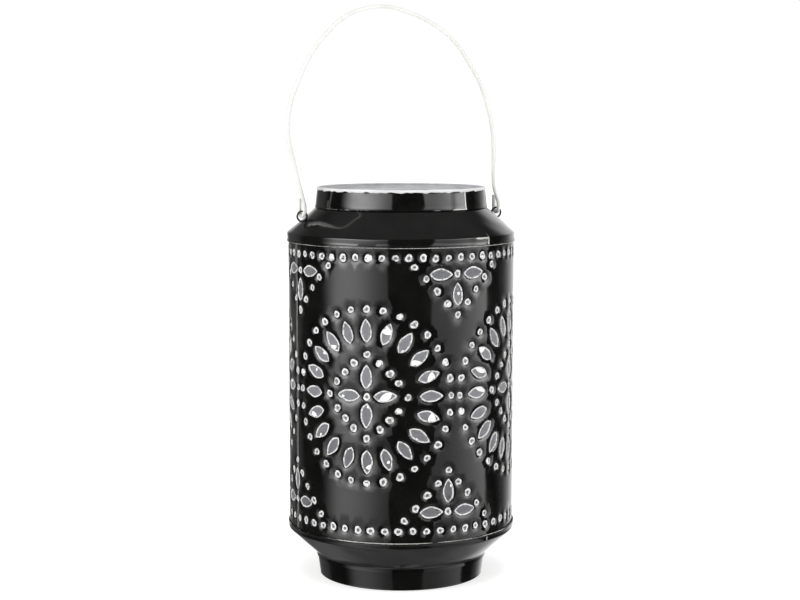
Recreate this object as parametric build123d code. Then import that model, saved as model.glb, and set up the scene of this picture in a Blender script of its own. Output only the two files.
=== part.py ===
from build123d import *
import os
from math import atan2, cos, degrees, pi, radians, sin

# Solar garden lantern of punched, enamelled sheet steel with a drop-in solar lamp module.
# Millimetres, +Z up. The origin is the centre of the foot, on the ground plane.
# -Y is the front. Angles round the body run from the front towards +X.

# ---- Body: radii, heights and sheets ----
SLEEVE_R = 75.9  # outer face of the punched sleeve
SHEET = 0.6  # spun and rolled shell pieces
SLEEVE_SHEET = 0.5
PUNCH_DEPTH = 2.0  # of a punched hole's cutter, half of it inside the sleeve's face
FOOT_R = 55.4  # at the ground
FOOT_TOP_R = 57.0
FOOT_HEIGHT = 15.2
FOOT_HEM_R = 0.9
FOOT_HEM_ROUND = 0.54  # of the hem's edges on the ground
BASE_RISE = 18.3  # slanting part of the base
BASE_BAND = 3.4  # upright edge of the base, round the sleeve
SLEEVE_SHOWN = 190.2  # between the base's edge and the shoulder's
SHOULDER_BAND = 5.8  # upright edge of the shoulder, round the sleeve
SHOULDER_RISE = 16.3
NECK_FOOT_R = 57.8
NECK_HEIGHT = 14.1
RIM_R = 56.4
SEAM_GAP = 0.1  # solder line under the neck
HEM = 0.4  # how far a hemmed edge stands proud
HEM_HEIGHT = 1.3
BEND_R = 1.1  # outer face of a spun corner
FLOOR_SHEET = 0.8
THROAT_R = 51.5  # clear bore of the foot's lip and of the module's seat
FOOT_LIP = 4.6
FOOT_JOINT = 2.5  # overlap of the base round the foot

# ---- Lap seam of the neck ----
LAP_ANGLE = 30.0  # free edge of the lap
LAP_WIDTH = 11.6

# ---- Punched pattern: arc lengths and heights on the sleeve ----
DOT_HOLE_R = 1.0
DOT_PITCH_TOP = 8.83
DOT_PITCH_BOTTOM = 9.17
BORDER_TOP = 6.3  # border row below the shoulder's edge
BORDER_BOTTOM = 7.4  # border row above the base's edge
BORDER_TOP_ANGLE = -36.0
BORDER_BOTTOM_ANGLE = -35.0
PETAL_LENGTH = 13.3
PETAL_WIDTH = 5.7
MEDALLION_ANGLE = -37.0
MEDALLION_R = 56.3
MEDALLION_DOTS = 32
MEDALLION_SPACE = 4.9  # least room left for a dot between two medallions
PETAL_RING_R = 42.4
PETAL_RING_COUNT = 20
DIAMOND_R = 27.3
DIAMOND_DOTS = 16
DIAMOND_POWER = 1.2  # 1 is straight-sided, 2 is round
CROSS_R = 12.3
CROSS_PETALS = 4
FAN_TOP = 16.8  # fan's centre dot below the shoulder's edge
FAN_BOTTOM = 19.6  # fan's centre dot above the base's edge
FAN_TOP_SHIFT = 1.3  # along the arc, from midway between two medallions
FAN_BOTTOM_SHIFT = -5.3
FAN_PETAL_OUT = 12.1
FAN_PETAL_DOWN = 13.4
FAN_TIP = 26.7
FAN_STEPS = 4  # dots on each side of the tip
FAN_STEP_OUT = 7.4
FAN_STEP_UP = 7.9

# ---- Eyes and bail ----
EYE_HOLE_OUT = 66.8  # from the axis to where the eye's shank enters the shoulder
EYE_R = 3.3  # centre line of the ring
EYE_WIRE_R = 0.65
EYE_STANDOFF = 4.1  # ring centre above the shoulder
EYE_SHANK_R = 1.0
EYE_LEG = 7.0
EYE_LEG_R = 0.6
EYE_LEG_GAP = 0.45  # under the shoulder's sheet
EYE_HOLE_DEPTH = 3.0  # hole's cutter below the shoulder's face
SHANK_CLEARANCE = 0.1
BAIL_WIRE_R = 1.3
HOOK_R = 2.9  # centre line of the hook, round the eye's top
HOOK_TURN_LEFT = 20.0
HOOK_TURN_RIGHT = 10.0
HOOK_TAIL = 8.6  # above the hinge line
STEM = 4.0  # upright run between hook and arch
BAIL_RISE = 135.0
# Corners of the arch: shares of the hinge's half span and of the rise.
BAIL_CORNERS = [
    (-1.196, 0.449),
    (-0.919, 0.778),
    (-0.583, 0.958),
    (-0.193, 1.010),
    (0.219, 0.947),
    (0.531, 0.846),
    (0.829, 0.620),
    (0.955, 0.385),
    (0.950, 0.115),
]
BEND_SHARE = 0.45  # share of the shorter run that a bend takes

# ---- Module housing ----
LEDGE_BELOW_RIM = 10.4  # top face of the seat ledge
MODULE_RECESS = 3.5  # module's top below the rim
MODULE_SIDE_GAP = 0.8
CAP_WALL = 2.0
CAP_PLATE = 1.6
CUP_GAP = 2.4  # between the ledge and the cup
CUP_WALL = 1.8
CUP_FLOOR = 1.8
LEAD_ROOM = 3.6  # above the battery bay's roof, for its leads
NOTCH_R = 8.0  # finger notches in the cap's edge
NOTCH_BITE = 4.0
SEAL_R = 0.6  # rubber ring between the cup's wall and the cap's plate

# ---- Solar cell ----
CELL_SIDE = 55.0
CELL_THICK = 0.6
COVER_SIDE = 57.6
COVER_THICK = 1.6
POCKET_GAP = 0.2

# ---- Battery, its bay and its door ----
BATTERY_R = 7.2
BATTERY_LENGTH = 50.0
BATTERY_ROUND = 0.6
BATTERY_NUB_R = 2.7
BATTERY_NUB = 1.0
BATTERY_Y = 16.0
BAY_GAP = 0.5
BAY_WALL = 1.2
SPRING_ROOM = 5.0
SPRING_R = 3.4
SPRING_WIRE_R = 0.3
SPRING_TURNS = 4
CONTACT_THICK = 0.4
CONTACT_WIDTH = 10.0
CONTACT_TAB = 1.4  # above the bay's roof
CONTACT_TAB_WIDTH = 3.0
TAB_GAP = 0.2
DOOR_GAP = 0.3
DOOR_LAND = 8.4  # beyond the bay at each end, for the screw
DOOR_SCREW_IN = 3.6  # from the door's end

# ---- Screws: pan heads and pilot posts ----
POST_R = 3.2
SCREW_R = 1.2
SCREW_GAP = 0.05  # round the door's screws, which come away with the door
SCREW_HEAD_R = 2.3
SCREW_HEAD = 1.2
SCREW_SLOT = 0.6
SCREW_SLOT_DEPTH = 0.5
HOUSING_SCREW_IN = 7.1  # from the cup's outer face
HOUSING_SCREW_ANGLES = [90.0, 210.0, 330.0]
HOUSING_SCREW_LENGTH = 19.0
DOOR_SCREW_LENGTH = 7.0
DOOR_POST = 7.0
BOARD_SCREW_LENGTH = 5.0

# ---- Driver board and lamp ----
BOARD_X = 40.0
BOARD_Y = 24.0
BOARD_THICK = 1.2
BOARD_BACK = 5.0  # board's rear edge, towards the battery
BOARD_LIFT = 8.5  # above the cup's floor
BOARD_HOLE_IN = 4.0
CHIP = (6.0, 4.0, 1.8)
CHIP_AT = (4.0, -12.0)
INDUCTOR_R = 3.0
INDUCTOR_HEIGHT = 4.5
INDUCTOR_FLANGE = 0.9
INDUCTOR_COIL_R = 2.55
INDUCTOR_AT = (-6.0, -12.0)
LAMP_R = 2.5
LAMP_FLANGE_R = 2.9
LAMP_FLANGE = 1.0
LAMP_BELOW = 4.6  # lens below the cup's floor
LAMP_LEG_R = 0.25
LAMP_LEG_OUT = 1.27
LAMP_LEG_END = 0.8  # above the board
LAMP_CLEARANCE = 0.1

# ---- Slide switch ----
SWITCH_BODY = (12.0, 6.0, 5.0)
SWITCH_Y = -30.0
SWITCH_WALL = 0.8
SWITCH_KNOB = (3.0, 2.0)
SWITCH_KNOB_BELOW = 2.2  # knob below the cup's floor
SWITCH_FOOT = (5.0, 3.6, 1.2)
SWITCH_TRAVEL = 2.5
SWITCH_GAP = 0.3

# ---- Leads ----
LEAD_R = 0.55
LEAD_HOLE_R = 0.8
PANEL_PAD = (5.0, -12.0)
BOARD_PAD_PANEL = (14.0, -14.0)
BOARD_PAD_BATTERY = (16.5, 1.5)
LEAD_DROP = 5.0

# ---- Levels and radii that follow ----
LOWER_SEAM_Z = FOOT_HEIGHT + BASE_RISE + BASE_BAND
UPPER_SEAM_Z = LOWER_SEAM_Z + SLEEVE_SHOWN
SHOULDER_Z = UPPER_SEAM_Z + SHOULDER_BAND
NECK_Z = SHOULDER_Z + SHOULDER_RISE
RIM_Z = NECK_Z + NECK_HEIGHT
BAND_R = SLEEVE_R + SHEET
SHOULDER_SLOPE = atan2(SHOULDER_RISE, BAND_R - NECK_FOOT_R)
LEDGE_Z = RIM_Z - LEDGE_BELOW_RIM
MODULE_TOP_Z = RIM_Z - MODULE_RECESS
MODULE_R = RIM_R - SHEET - MODULE_SIDE_GAP
POCKET_Z = MODULE_TOP_Z - COVER_THICK - CELL_THICK
CAP_UNDER_Z = POCKET_Z - CAP_PLATE
CUP_Z = CAP_UNDER_Z - LEAD_ROOM - BAY_WALL - 2 * (BATTERY_R + BAY_GAP) - CUP_FLOOR
CUP_TOP_Z = CAP_UNDER_Z - 2 * SEAL_R
CUP_R = THROAT_R - CUP_GAP
HOUSING_SCREW_OUT = CUP_R - HOUSING_SCREW_IN
CUP_INSIDE_Z = CUP_Z + CUP_FLOOR
BATTERY_Z = CUP_INSIDE_Z + BAY_GAP + BATTERY_R
BAY_TOP_Z = BATTERY_Z + BATTERY_R + BAY_GAP
BAY_HALF_X = (BATTERY_LENGTH + SPRING_ROOM) / 2 + CONTACT_THICK + BATTERY_NUB / 2
BAY_HALF_Y = BATTERY_R + BAY_GAP
DOOR_HALF_X = BAY_HALF_X + DOOR_LAND
BOARD_Z = CUP_INSIDE_Z + BOARD_LIFT
BOARD_TOP_Z = BOARD_Z + BOARD_THICK
BOARD_MID_Y = BOARD_BACK - BOARD_Y / 2


def neck_radius(height):
    """Outer radius of the tapering neck at a height."""
    return NECK_FOOT_R + (RIM_R - NECK_FOOT_R) * (height - NECK_Z) / NECK_HEIGHT


THROAT_OUTER_R = neck_radius(LEDGE_Z) - SHEET


# ---- Helpers ----
def bend_corner(before, corner, after):
    """Start, middle and end of the arc that rounds a corner of a path."""
    back = before - corner
    ahead = after - corner
    reach = BEND_SHARE * min(back.length, ahead.length)
    half_turn = radians(180 - back.get_angle(ahead)) / 2
    radius = reach * cos(half_turn) / sin(half_turn)
    inwards = (back.normalized() + ahead.normalized()).normalized()
    middle = corner + inwards * (radius / cos(half_turn) - radius)
    return corner + back.normalized() * reach, middle, corner + ahead.normalized() * reach


def rounded_path(points):
    """Edges of straight runs joined by tangent arcs."""
    points = [Vector(*point) for point in points]
    edges = []
    at = points[0]
    for before, corner, after in zip(points, points[1:], points[2:]):
        start, middle, end = bend_corner(before, corner, after)
        edges.append(Line(at, start))
        edges.append(ThreePointArc(start, middle, end))
        at = end
    edges.append(Line(at, points[-1]))
    return edges


def tube(edges, radius):
    """Round wire along a path."""
    path = Wire([edge for curve in edges for edge in curve.edges()])
    section = Plane(origin=path @ 0, z_dir=path % 0) * Circle(radius)
    return sweep(section, path=path)


def spun(profile, thickness, corner_r=0.0):
    """Sheet spun about Z. The profile is its outer face, and the sheet lies on the profile's left."""
    points = [Vector(r, z) for r, z in profile]
    line = FilletPolyline(*points, radius=corner_r) if corner_r else Polyline(*points)
    outline = Wire(line.edges()).offset_2d(thickness, side=Side.LEFT, closed=True)
    return revolve(Plane.XZ * make_face(outline.edges()), Axis.Z)


def tube_ring(outer_r, inner_r, bottom_z, top_z):
    """Plain upright ring."""
    height = top_z - bottom_z
    ring = Cylinder(outer_r, height) - Cylinder(inner_r, height)
    return Pos(0, 0, bottom_z + height / 2) * ring


def block(size_x, size_y, size_z, x=0.0, y=0.0, z=0.0):
    """Box that stands on height z."""
    return Pos(x, y, z + size_z / 2) * Box(size_x, size_y, size_z)


def rod(radius, height, x=0.0, y=0.0, z=0.0):
    """Upright cylinder that stands on height z."""
    return Pos(x, y, z + height / 2) * Cylinder(radius, height)


def export(node, shape):
    export_step(shape, f"parts/{node}.step")


# ---- Punched pattern ----
def on_sleeve(arc, height):
    """Place on the sleeve's face: local Z outwards and local Y up."""
    turn = degrees(arc / SLEEVE_R)
    return Pos(0, 0, height) * Rot(0, 0, turn) * Pos(0, -SLEEVE_R, 0) * Rot(90, 0, 0)


def ring_points(count, radius):
    """(across, up, angle) of evenly spaced points round a centre."""
    angles = [360 * step / count for step in range(count)]
    return [(radius * cos(radians(a)), radius * sin(radians(a)), a) for a in angles]


def diamond_points():
    """Points of the rounded square that stands on its corner, round a medallion's cross."""
    points = []
    for across, up, _ in ring_points(DIAMOND_DOTS, 1.0):
        stretch = (abs(across) ** DIAMOND_POWER + abs(up) ** DIAMOND_POWER) ** (-1 / DIAMOND_POWER)
        points.append((across * stretch * DIAMOND_R, up * stretch * DIAMOND_R))
    return points


def medallion(arc, height):
    """Dots (arc, height) and petals (arc, height, tilt) of one round medallion."""
    spots = [(across, up) for across, up, _ in ring_points(MEDALLION_DOTS, MEDALLION_R)]
    spots += diamond_points()
    spots.append((0.0, 0.0))
    leaves = ring_points(PETAL_RING_COUNT, PETAL_RING_R) + ring_points(CROSS_PETALS, CROSS_R)
    dots = [(arc + across, height + up) for across, up in spots]
    petals = [(arc + across, height + up, tilt) for across, up, tilt in leaves]
    return dots, petals


def fan(arc, height, way):
    """Dots and petals of one fan. Its tip points along way: -1 is down and 1 is up."""
    dots = [(arc, height)]
    for step in range(-FAN_STEPS, FAN_STEPS + 1):
        drop = FAN_TIP - abs(step) * FAN_STEP_UP
        dots.append((arc + step * FAN_STEP_OUT, height + way * drop))
    petals = [(arc + side * FAN_PETAL_OUT, height, 0.0) for side in (-1, 1)]
    petals.append((arc, height + way * FAN_PETAL_DOWN, 90.0))
    return dots, petals


def border(pitch, start_angle, height):
    """Row of dots right round the sleeve."""
    girth = 2 * pi * SLEEVE_R
    count = round(girth / pitch)
    start = radians(start_angle) * SLEEVE_R
    return [(start + girth * step / count, height) for step in range(count)]


def pattern():
    """Every dot and petal of the sleeve."""
    girth = 2 * pi * SLEEVE_R
    count = int(girth // (2 * MEDALLION_R + MEDALLION_SPACE))
    dots = border(DOT_PITCH_TOP, BORDER_TOP_ANGLE, UPPER_SEAM_Z - BORDER_TOP)
    dots += border(DOT_PITCH_BOTTOM, BORDER_BOTTOM_ANGLE, LOWER_SEAM_Z + BORDER_BOTTOM)
    petals = []
    for step in range(count):
        arc = radians(MEDALLION_ANGLE) * SLEEVE_R + girth * step / count
        midway = arc + girth / count / 2
        groups = [
            medallion(arc, (LOWER_SEAM_Z + UPPER_SEAM_Z) / 2),
            fan(midway + FAN_TOP_SHIFT, UPPER_SEAM_Z - FAN_TOP, -1),
            fan(midway + FAN_BOTTOM_SHIFT, LOWER_SEAM_Z + FAN_BOTTOM, 1),
        ]
        for group_dots, group_petals in groups:
            dots += group_dots
            petals += group_petals
    return dots, petals


def petal_outline():
    """Pointed oval, its long axis along X."""
    tip = PETAL_LENGTH / 2
    upper = ThreePointArc((-tip, 0), (0, PETAL_WIDTH / 2), (tip, 0))
    lower = ThreePointArc((tip, 0), (0, -PETAL_WIDTH / 2), (-tip, 0))
    return make_face(upper.edges() + lower.edges())


# ---- Shell ----
def neck_collar():
    """Tapering rolled collar whose end laps over its start."""
    bottom_z = NECK_Z + SHEET + SEAM_GAP
    outer = [(neck_radius(bottom_z), bottom_z), (RIM_R, RIM_Z)]
    collar = spun(outer, SHEET)
    lap = spun([(r + SHEET, z) for r, z in outer], SHEET)
    sweep_angle = degrees(LAP_WIDTH / NECK_FOOT_R)
    sector = Pos(0, 0, NECK_Z) * extrude(sector_face(LAP_ANGLE - sweep_angle, LAP_ANGLE), NECK_HEIGHT)
    return collar + (lap & sector)


def sector_face(start, end):
    """Wedge of the ground plane between two angles round the body, past every wall."""
    far = 2 * SLEEVE_R
    corners = [(far * sin(radians(a)), -far * cos(radians(a))) for a in (start, end)]
    return make_face(Polyline((0, 0), *corners, close=True).edges())


def shoulder_cone():
    """Upright edge, slope, throat inside the neck and the ledge that the module rests on."""
    throat_r = THROAT_OUTER_R
    profile = [
        (BAND_R, UPPER_SEAM_Z),
        (BAND_R, SHOULDER_Z),
        (throat_r, SHOULDER_Z + SHOULDER_RISE * (BAND_R - throat_r) / (BAND_R - NECK_FOOT_R)),
        (throat_r, LEDGE_Z),
        (THROAT_R, LEDGE_Z),
    ]
    cone = spun(profile, SHEET, BEND_R)
    hem = tube_ring(BAND_R + HEM, BAND_R, UPPER_SEAM_Z, UPPER_SEAM_Z + HEM_HEIGHT)
    hole = rod(EYE_SHANK_R + SHANK_CLEARANCE, EYE_HOLE_DEPTH + SHEET, z=-EYE_HOLE_DEPTH)
    return cone + hem - [eye_place(side) * hole for side in (-1, 1)]


def punched_sleeve():
    """Rolled sleeve with every dot and petal punched through."""
    sleeve = tube_ring(SLEEVE_R, SLEEVE_R - SLEEVE_SHEET, LOWER_SEAM_Z - BASE_BAND, SHOULDER_Z - BEND_R)
    dots, petals = pattern()
    leaf = Pos(0, 0, -PUNCH_DEPTH / 2) * extrude(petal_outline(), PUNCH_DEPTH)
    cutters = [on_sleeve(arc, height) * Cylinder(DOT_HOLE_R, PUNCH_DEPTH) for arc, height in dots]
    cutters += [on_sleeve(arc, height) * Rot(0, 0, tilt) * leaf for arc, height, tilt in petals]
    return sleeve - cutters


def base_cone():
    """Slanting base, its upright edge round the sleeve and its collar round the foot."""
    band_z = LOWER_SEAM_Z - BASE_BAND
    profile = [
        (FOOT_TOP_R + SHEET, FOOT_HEIGHT - FOOT_JOINT),
        (FOOT_TOP_R + SHEET, FOOT_HEIGHT),
        (BAND_R, band_z - SHEET),
        (BAND_R, LOWER_SEAM_Z),
    ]
    cone = spun(profile, SHEET, BEND_R)
    return cone + tube_ring(BAND_R + HEM, BAND_R, LOWER_SEAM_Z - HEM_HEIGHT, LOWER_SEAM_Z)


def foot_ring():
    """Tapering foot: a hem on the ground, a flange under the floor and a lip turned down from it."""
    hem_z = 2 * FOOT_HEM_R
    profile = [
        (FOOT_R, hem_z - SHEET),
        (FOOT_TOP_R, FOOT_HEIGHT - FOOT_JOINT),
        (FOOT_TOP_R, FOOT_HEIGHT),
        (THROAT_R, FOOT_HEIGHT),
        (THROAT_R, FOOT_HEIGHT - FOOT_LIP),
    ]
    hem = tube_ring(FOOT_R, FOOT_R - 2 * FOOT_HEM_R, 0, hem_z)
    hem = fillet(hem.edges().filter_by(GeomType.CIRCLE).group_by(Axis.Z)[0], FOOT_HEM_ROUND)
    return spun(profile, SHEET) + hem


def floor_plate():
    """Disc that closes the bottom, on the foot's flange."""
    return rod(FOOT_TOP_R - SHEET, FLOOR_SHEET, z=FOOT_HEIGHT)


# ---- Eyes and bail ----
def eye_place(side):
    """Where an eye's shank enters the shoulder: local Z out of the slope. side is -1 for -X."""
    height = SHOULDER_Z + (BAND_R - EYE_HOLE_OUT) * SHOULDER_RISE / (BAND_R - NECK_FOOT_R)
    lean = side * degrees(SHOULDER_SLOPE)
    return Pos(side * EYE_HOLE_OUT, 0, height) * Rot(0, lean, 0)


def hinge_point(side):
    """Centre of the eye ring's top wire, which the bail turns round."""
    ring = (eye_place(side) * Pos(0, 0, EYE_STANDOFF)).position
    return Vector(ring.X, 0, ring.Z + EYE_R)


def bail_eye(side):
    """Split pin: a ring, two legs side by side through the shoulder, spread underneath."""
    ring = Rot(0, -90, 0) * Rot(90, 0, 0) * Torus(EYE_R, EYE_WIRE_R)
    ring = Pos(*(eye_place(side) * Pos(0, 0, EYE_STANDOFF)).position) * ring
    shank_top = EYE_STANDOFF - EYE_R
    shank_length = shank_top + SHEET + EYE_LEG_GAP + EYE_LEG_R
    shank = rod(EYE_SHANK_R, shank_length, z=shank_top - shank_length)
    legs = Rot(90, 0, 0) * Cylinder(EYE_LEG_R, 2 * EYE_LEG)
    legs = Pos(0, 0, -SHEET - EYE_LEG_GAP - EYE_LEG_R) * legs
    return ring + eye_place(side) * (shank + legs)


def hook(side, turn):
    """Tail, hook and stem base of one end, from the tail's tip to the stem."""
    pivot = hinge_point(side)
    across = Vector(-sin(radians(turn)), cos(radians(turn)), 0) * HOOK_R
    tail = pivot + across
    stem = pivot - across
    return [
        Line(tail + Vector(0, 0, HOOK_TAIL), tail),
        ThreePointArc(tail, pivot - Vector(0, 0, HOOK_R), stem),
    ], stem


def bail_handle():
    """One bent wire: hook, arch and hook."""
    left_edges, left_stem = hook(-1, HOOK_TURN_LEFT)
    right_edges, right_stem = hook(1, HOOK_TURN_RIGHT)
    span = hinge_point(1).X
    rise = Vector(0, 0, STEM)
    plane_y = (left_stem.Y + right_stem.Y) / 2
    arch = [(span * x, plane_y, left_stem.Z + BAIL_RISE * z) for x, z in BAIL_CORNERS]
    points = [left_stem, left_stem + rise, *arch, right_stem + rise, right_stem]
    return tube(left_edges + rounded_path(points) + right_edges[::-1], BAIL_WIRE_R)


# ---- Module housing ----
def post_places(out, angles):
    """Plan positions on a circle."""
    return [(out * cos(radians(a)), out * sin(radians(a))) for a in angles]


def housing_posts():
    return post_places(HOUSING_SCREW_OUT, HOUSING_SCREW_ANGLES)


def board_screws_at():
    """Plan positions of the board's two screws."""
    reach = BOARD_X / 2 - BOARD_HOLE_IN
    return [(-reach, BOARD_MID_Y), (reach, BOARD_MID_Y)]


def door_screws_at():
    """Plan positions of the door's two screws."""
    reach = DOOR_HALF_X - DOOR_SCREW_IN
    return [(-reach, BATTERY_Y), (reach, BATTERY_Y)]


def screw(length):
    """Slotted pan-head screw that points up, the seat of its head on the origin."""
    body = rod(SCREW_R, length) + rod(SCREW_HEAD_R, SCREW_HEAD, z=-SCREW_HEAD)
    return body - block(2 * SCREW_HEAD_R, SCREW_SLOT, SCREW_SLOT_DEPTH, z=-SCREW_HEAD)


def screw_group(places, head_z, length, turn=0):
    """Screws of one length; turn is 180 where they point down."""
    return Compound(children=[Pos(x, y, head_z) * Rot(turn, 0, 0) * screw(length) for x, y in places])


def module_top():
    """Round cap with the cell's pocket, finger notches, a skirt on the ledge and the screw posts."""
    pocket_side = COVER_SIDE + 2 * POCKET_GAP
    cap = rod(MODULE_R, MODULE_TOP_Z - LEDGE_Z, z=LEDGE_Z)
    cap -= rod(MODULE_R - CAP_WALL, CAP_UNDER_Z - LEDGE_Z, z=LEDGE_Z)
    for x, y in housing_posts():
        cap += rod(POST_R, CAP_UNDER_Z - LEDGE_Z, x, y, LEDGE_Z)
        cap -= rod(SCREW_R, CAP_UNDER_Z - LEDGE_Z, x, y, LEDGE_Z)
    cap -= block(pocket_side, pocket_side, MODULE_TOP_Z - POCKET_Z, z=POCKET_Z)
    for side in (-1, 1):
        x, y = side * PANEL_PAD[0], PANEL_PAD[1]
        cap -= rod(LEAD_HOLE_R, CAP_PLATE, x, y, CAP_UNDER_Z)
        notch_y = side * (MODULE_R + NOTCH_R - NOTCH_BITE)
        cap -= rod(NOTCH_R, MODULE_TOP_Z - CAP_UNDER_Z, 0, notch_y, CAP_UNDER_Z)
    return cap


def module_bottom():
    """Cup under the cap with the battery bay, posts and the openings in its floor."""
    cup = rod(CUP_R, CUP_TOP_Z - CUP_Z, z=CUP_Z)
    cup -= rod(CUP_R - CUP_WALL, CUP_TOP_Z - CUP_INSIDE_Z, z=CUP_INSIDE_Z)
    bay_x = 2 * (BAY_HALF_X + BAY_WALL)
    bay_y = 2 * (BAY_HALF_Y + BAY_WALL)
    cup += block(bay_x, bay_y, BAY_TOP_Z + BAY_WALL - CUP_INSIDE_Z, y=BATTERY_Y, z=CUP_INSIDE_Z)
    for side in (-1, 1):
        tab_x = side * (BAY_HALF_X - CONTACT_THICK / 2)
        slot_x = CONTACT_THICK + 2 * TAB_GAP
        cup -= block(slot_x, CONTACT_TAB_WIDTH + 2 * TAB_GAP, BAY_WALL, tab_x, BATTERY_Y, BAY_TOP_Z)
    for x, y in door_screws_at():
        cup += rod(POST_R, DOOR_POST, x, y, CUP_INSIDE_Z)
    cup += block(2 * (DOOR_HALF_X - DOOR_SCREW_IN), POST_R, DOOR_POST, y=BATTERY_Y, z=CUP_INSIDE_Z)
    cup -= block(2 * BAY_HALF_X, 2 * BAY_HALF_Y, BAY_TOP_Z - CUP_INSIDE_Z, y=BATTERY_Y, z=CUP_INSIDE_Z)
    door_x = 2 * (DOOR_HALF_X + DOOR_GAP)
    cup -= block(door_x, 2 * (BAY_HALF_Y + DOOR_GAP), CUP_FLOOR, y=BATTERY_Y, z=CUP_Z)
    for x, y in door_screws_at():
        cup -= rod(SCREW_R + SCREW_GAP, DOOR_SCREW_LENGTH - CUP_FLOOR, x, y, CUP_INSIDE_Z)
    for x, y in board_screws_at():
        cup += rod(POST_R, BOARD_LIFT, x, y, CUP_INSIDE_Z)
        cup -= rod(SCREW_R, BOARD_SCREW_LENGTH - BOARD_THICK, x, y, BOARD_TOP_Z - BOARD_SCREW_LENGTH)
    for x, y in housing_posts():
        cup += rod(POST_R, LEDGE_Z - CUP_INSIDE_Z, x, y, CUP_INSIDE_Z)
        cup -= rod(SCREW_R, LEDGE_Z - CUP_Z, x, y, CUP_Z)
    cup -= rod(LAMP_R + LAMP_CLEARANCE, CUP_FLOOR, z=CUP_Z)
    slot_x = SWITCH_KNOB[0] + SWITCH_TRAVEL + 2 * SWITCH_GAP
    cup -= block(slot_x, SWITCH_KNOB[1] + 2 * SWITCH_GAP, CUP_FLOOR, y=SWITCH_Y, z=CUP_Z)
    return cup


def seal_ring():
    return Pos(0, 0, CUP_TOP_Z + SEAL_R) * Torus(CUP_R - CUP_WALL / 2, SEAL_R)


def solar_cell():
    return block(CELL_SIDE, CELL_SIDE, CELL_THICK, z=POCKET_Z)


def cell_cover():
    """Clear plate, flush with the cap."""
    return block(COVER_SIDE, COVER_SIDE, COVER_THICK, z=POCKET_Z + CELL_THICK)


# ---- Battery, contacts and door ----
def battery():
    """AA cell on its side, its nub towards +X."""
    start_x = -BAY_HALF_X + CONTACT_THICK + SPRING_ROOM
    can = Rot(0, 90, 0) * rod(BATTERY_R, BATTERY_LENGTH)
    can = fillet(can.edges().filter_by(GeomType.CIRCLE), BATTERY_ROUND)
    nub = Rot(0, 90, 0) * rod(BATTERY_NUB_R, BATTERY_NUB, z=BATTERY_LENGTH)
    return Pos(start_x, BATTERY_Y, BATTERY_Z) * (can + nub)


def contact(side):
    """Flat contact at one end of the bay, its solder tab through the roof."""
    x = side * (BAY_HALF_X - CONTACT_THICK / 2)
    low_z = BATTERY_Z - CONTACT_WIDTH / 2
    plate = block(CONTACT_THICK, CONTACT_WIDTH, BAY_TOP_Z - low_z, x, BATTERY_Y, low_z)
    tab = block(CONTACT_THICK, CONTACT_TAB_WIDTH, BAY_WALL + CONTACT_TAB, x, BATTERY_Y, BAY_TOP_Z)
    return plate + tab


def contact_spring():
    """Coil between the flat contact and the battery's can."""
    length = SPRING_ROOM - 2 * SPRING_WIRE_R
    coil = Helix(length / SPRING_TURNS, length, SPRING_R)
    section = Plane(origin=coil @ 0, z_dir=coil % 0) * Circle(SPRING_WIRE_R)
    wire = sweep(section, path=coil, is_frenet=True)
    start_x = -BAY_HALF_X + CONTACT_THICK + SPRING_WIRE_R
    return Pos(start_x, BATTERY_Y, BATTERY_Z) * Rot(0, 90, 0) * wire


def battery_door():
    """Flat door in the cup's floor."""
    door = block(2 * DOOR_HALF_X, 2 * BAY_HALF_Y, CUP_FLOOR, y=BATTERY_Y, z=CUP_Z)
    return door - [rod(SCREW_R, CUP_FLOOR, x, y, CUP_Z) for x, y in door_screws_at()]


# ---- Board, lamp, switch and leads ----
def driver_board():
    board = block(BOARD_X, BOARD_Y, BOARD_THICK, y=BOARD_MID_Y, z=BOARD_Z)
    board -= [rod(SCREW_R, BOARD_THICK, x, y, BOARD_Z) for x, y in board_screws_at()]
    return board - [rod(LAMP_LEG_R, BOARD_THICK, x, 0, BOARD_Z) for x in (-LAMP_LEG_OUT, LAMP_LEG_OUT)]


def driver_chip():
    return block(*CHIP, *CHIP_AT, BOARD_TOP_Z)


def inductor():
    """Drum coil: two flanges and a winding."""
    drum = rod(INDUCTOR_R, INDUCTOR_FLANGE) + rod(INDUCTOR_COIL_R, INDUCTOR_HEIGHT)
    drum += rod(INDUCTOR_R, INDUCTOR_FLANGE, z=INDUCTOR_HEIGHT - INDUCTOR_FLANGE)
    return Pos(*INDUCTOR_AT, BOARD_TOP_Z) * drum


def led_lamp():
    """Lamp with its lens down through the cup's floor and its legs up through the board."""
    lens_z = CUP_Z - LAMP_BELOW + LAMP_R
    lamp = rod(LAMP_R, CUP_INSIDE_Z - lens_z, z=lens_z) + Pos(0, 0, lens_z) * Sphere(LAMP_R)
    lamp += rod(LAMP_FLANGE_R, LAMP_FLANGE, z=CUP_INSIDE_Z)
    legs_z = CUP_INSIDE_Z + LAMP_FLANGE
    for x in (-LAMP_LEG_OUT, LAMP_LEG_OUT):
        lamp += rod(LAMP_LEG_R, BOARD_TOP_Z + LAMP_LEG_END - legs_z, x, 0, legs_z)
    return lamp


def switch_case():
    """Open-bottomed metal case on the cup's floor."""
    size_x, size_y, size_z = SWITCH_BODY
    case = block(size_x, size_y, size_z, y=SWITCH_Y, z=CUP_INSIDE_Z)
    inner = 2 * SWITCH_WALL
    return case - block(size_x - inner, size_y - inner, size_z - SWITCH_WALL, y=SWITCH_Y, z=CUP_INSIDE_Z)


def switch_slider():
    """Knob through the floor and its foot inside the case, at the off end."""
    at_x = -SWITCH_TRAVEL / 2
    height = SWITCH_KNOB_BELOW + CUP_FLOOR + SWITCH_GAP
    knob = block(*SWITCH_KNOB, height, at_x, SWITCH_Y, CUP_Z - SWITCH_KNOB_BELOW)
    return knob + block(*SWITCH_FOOT, at_x, SWITCH_Y, CUP_INSIDE_Z + SWITCH_GAP)


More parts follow.
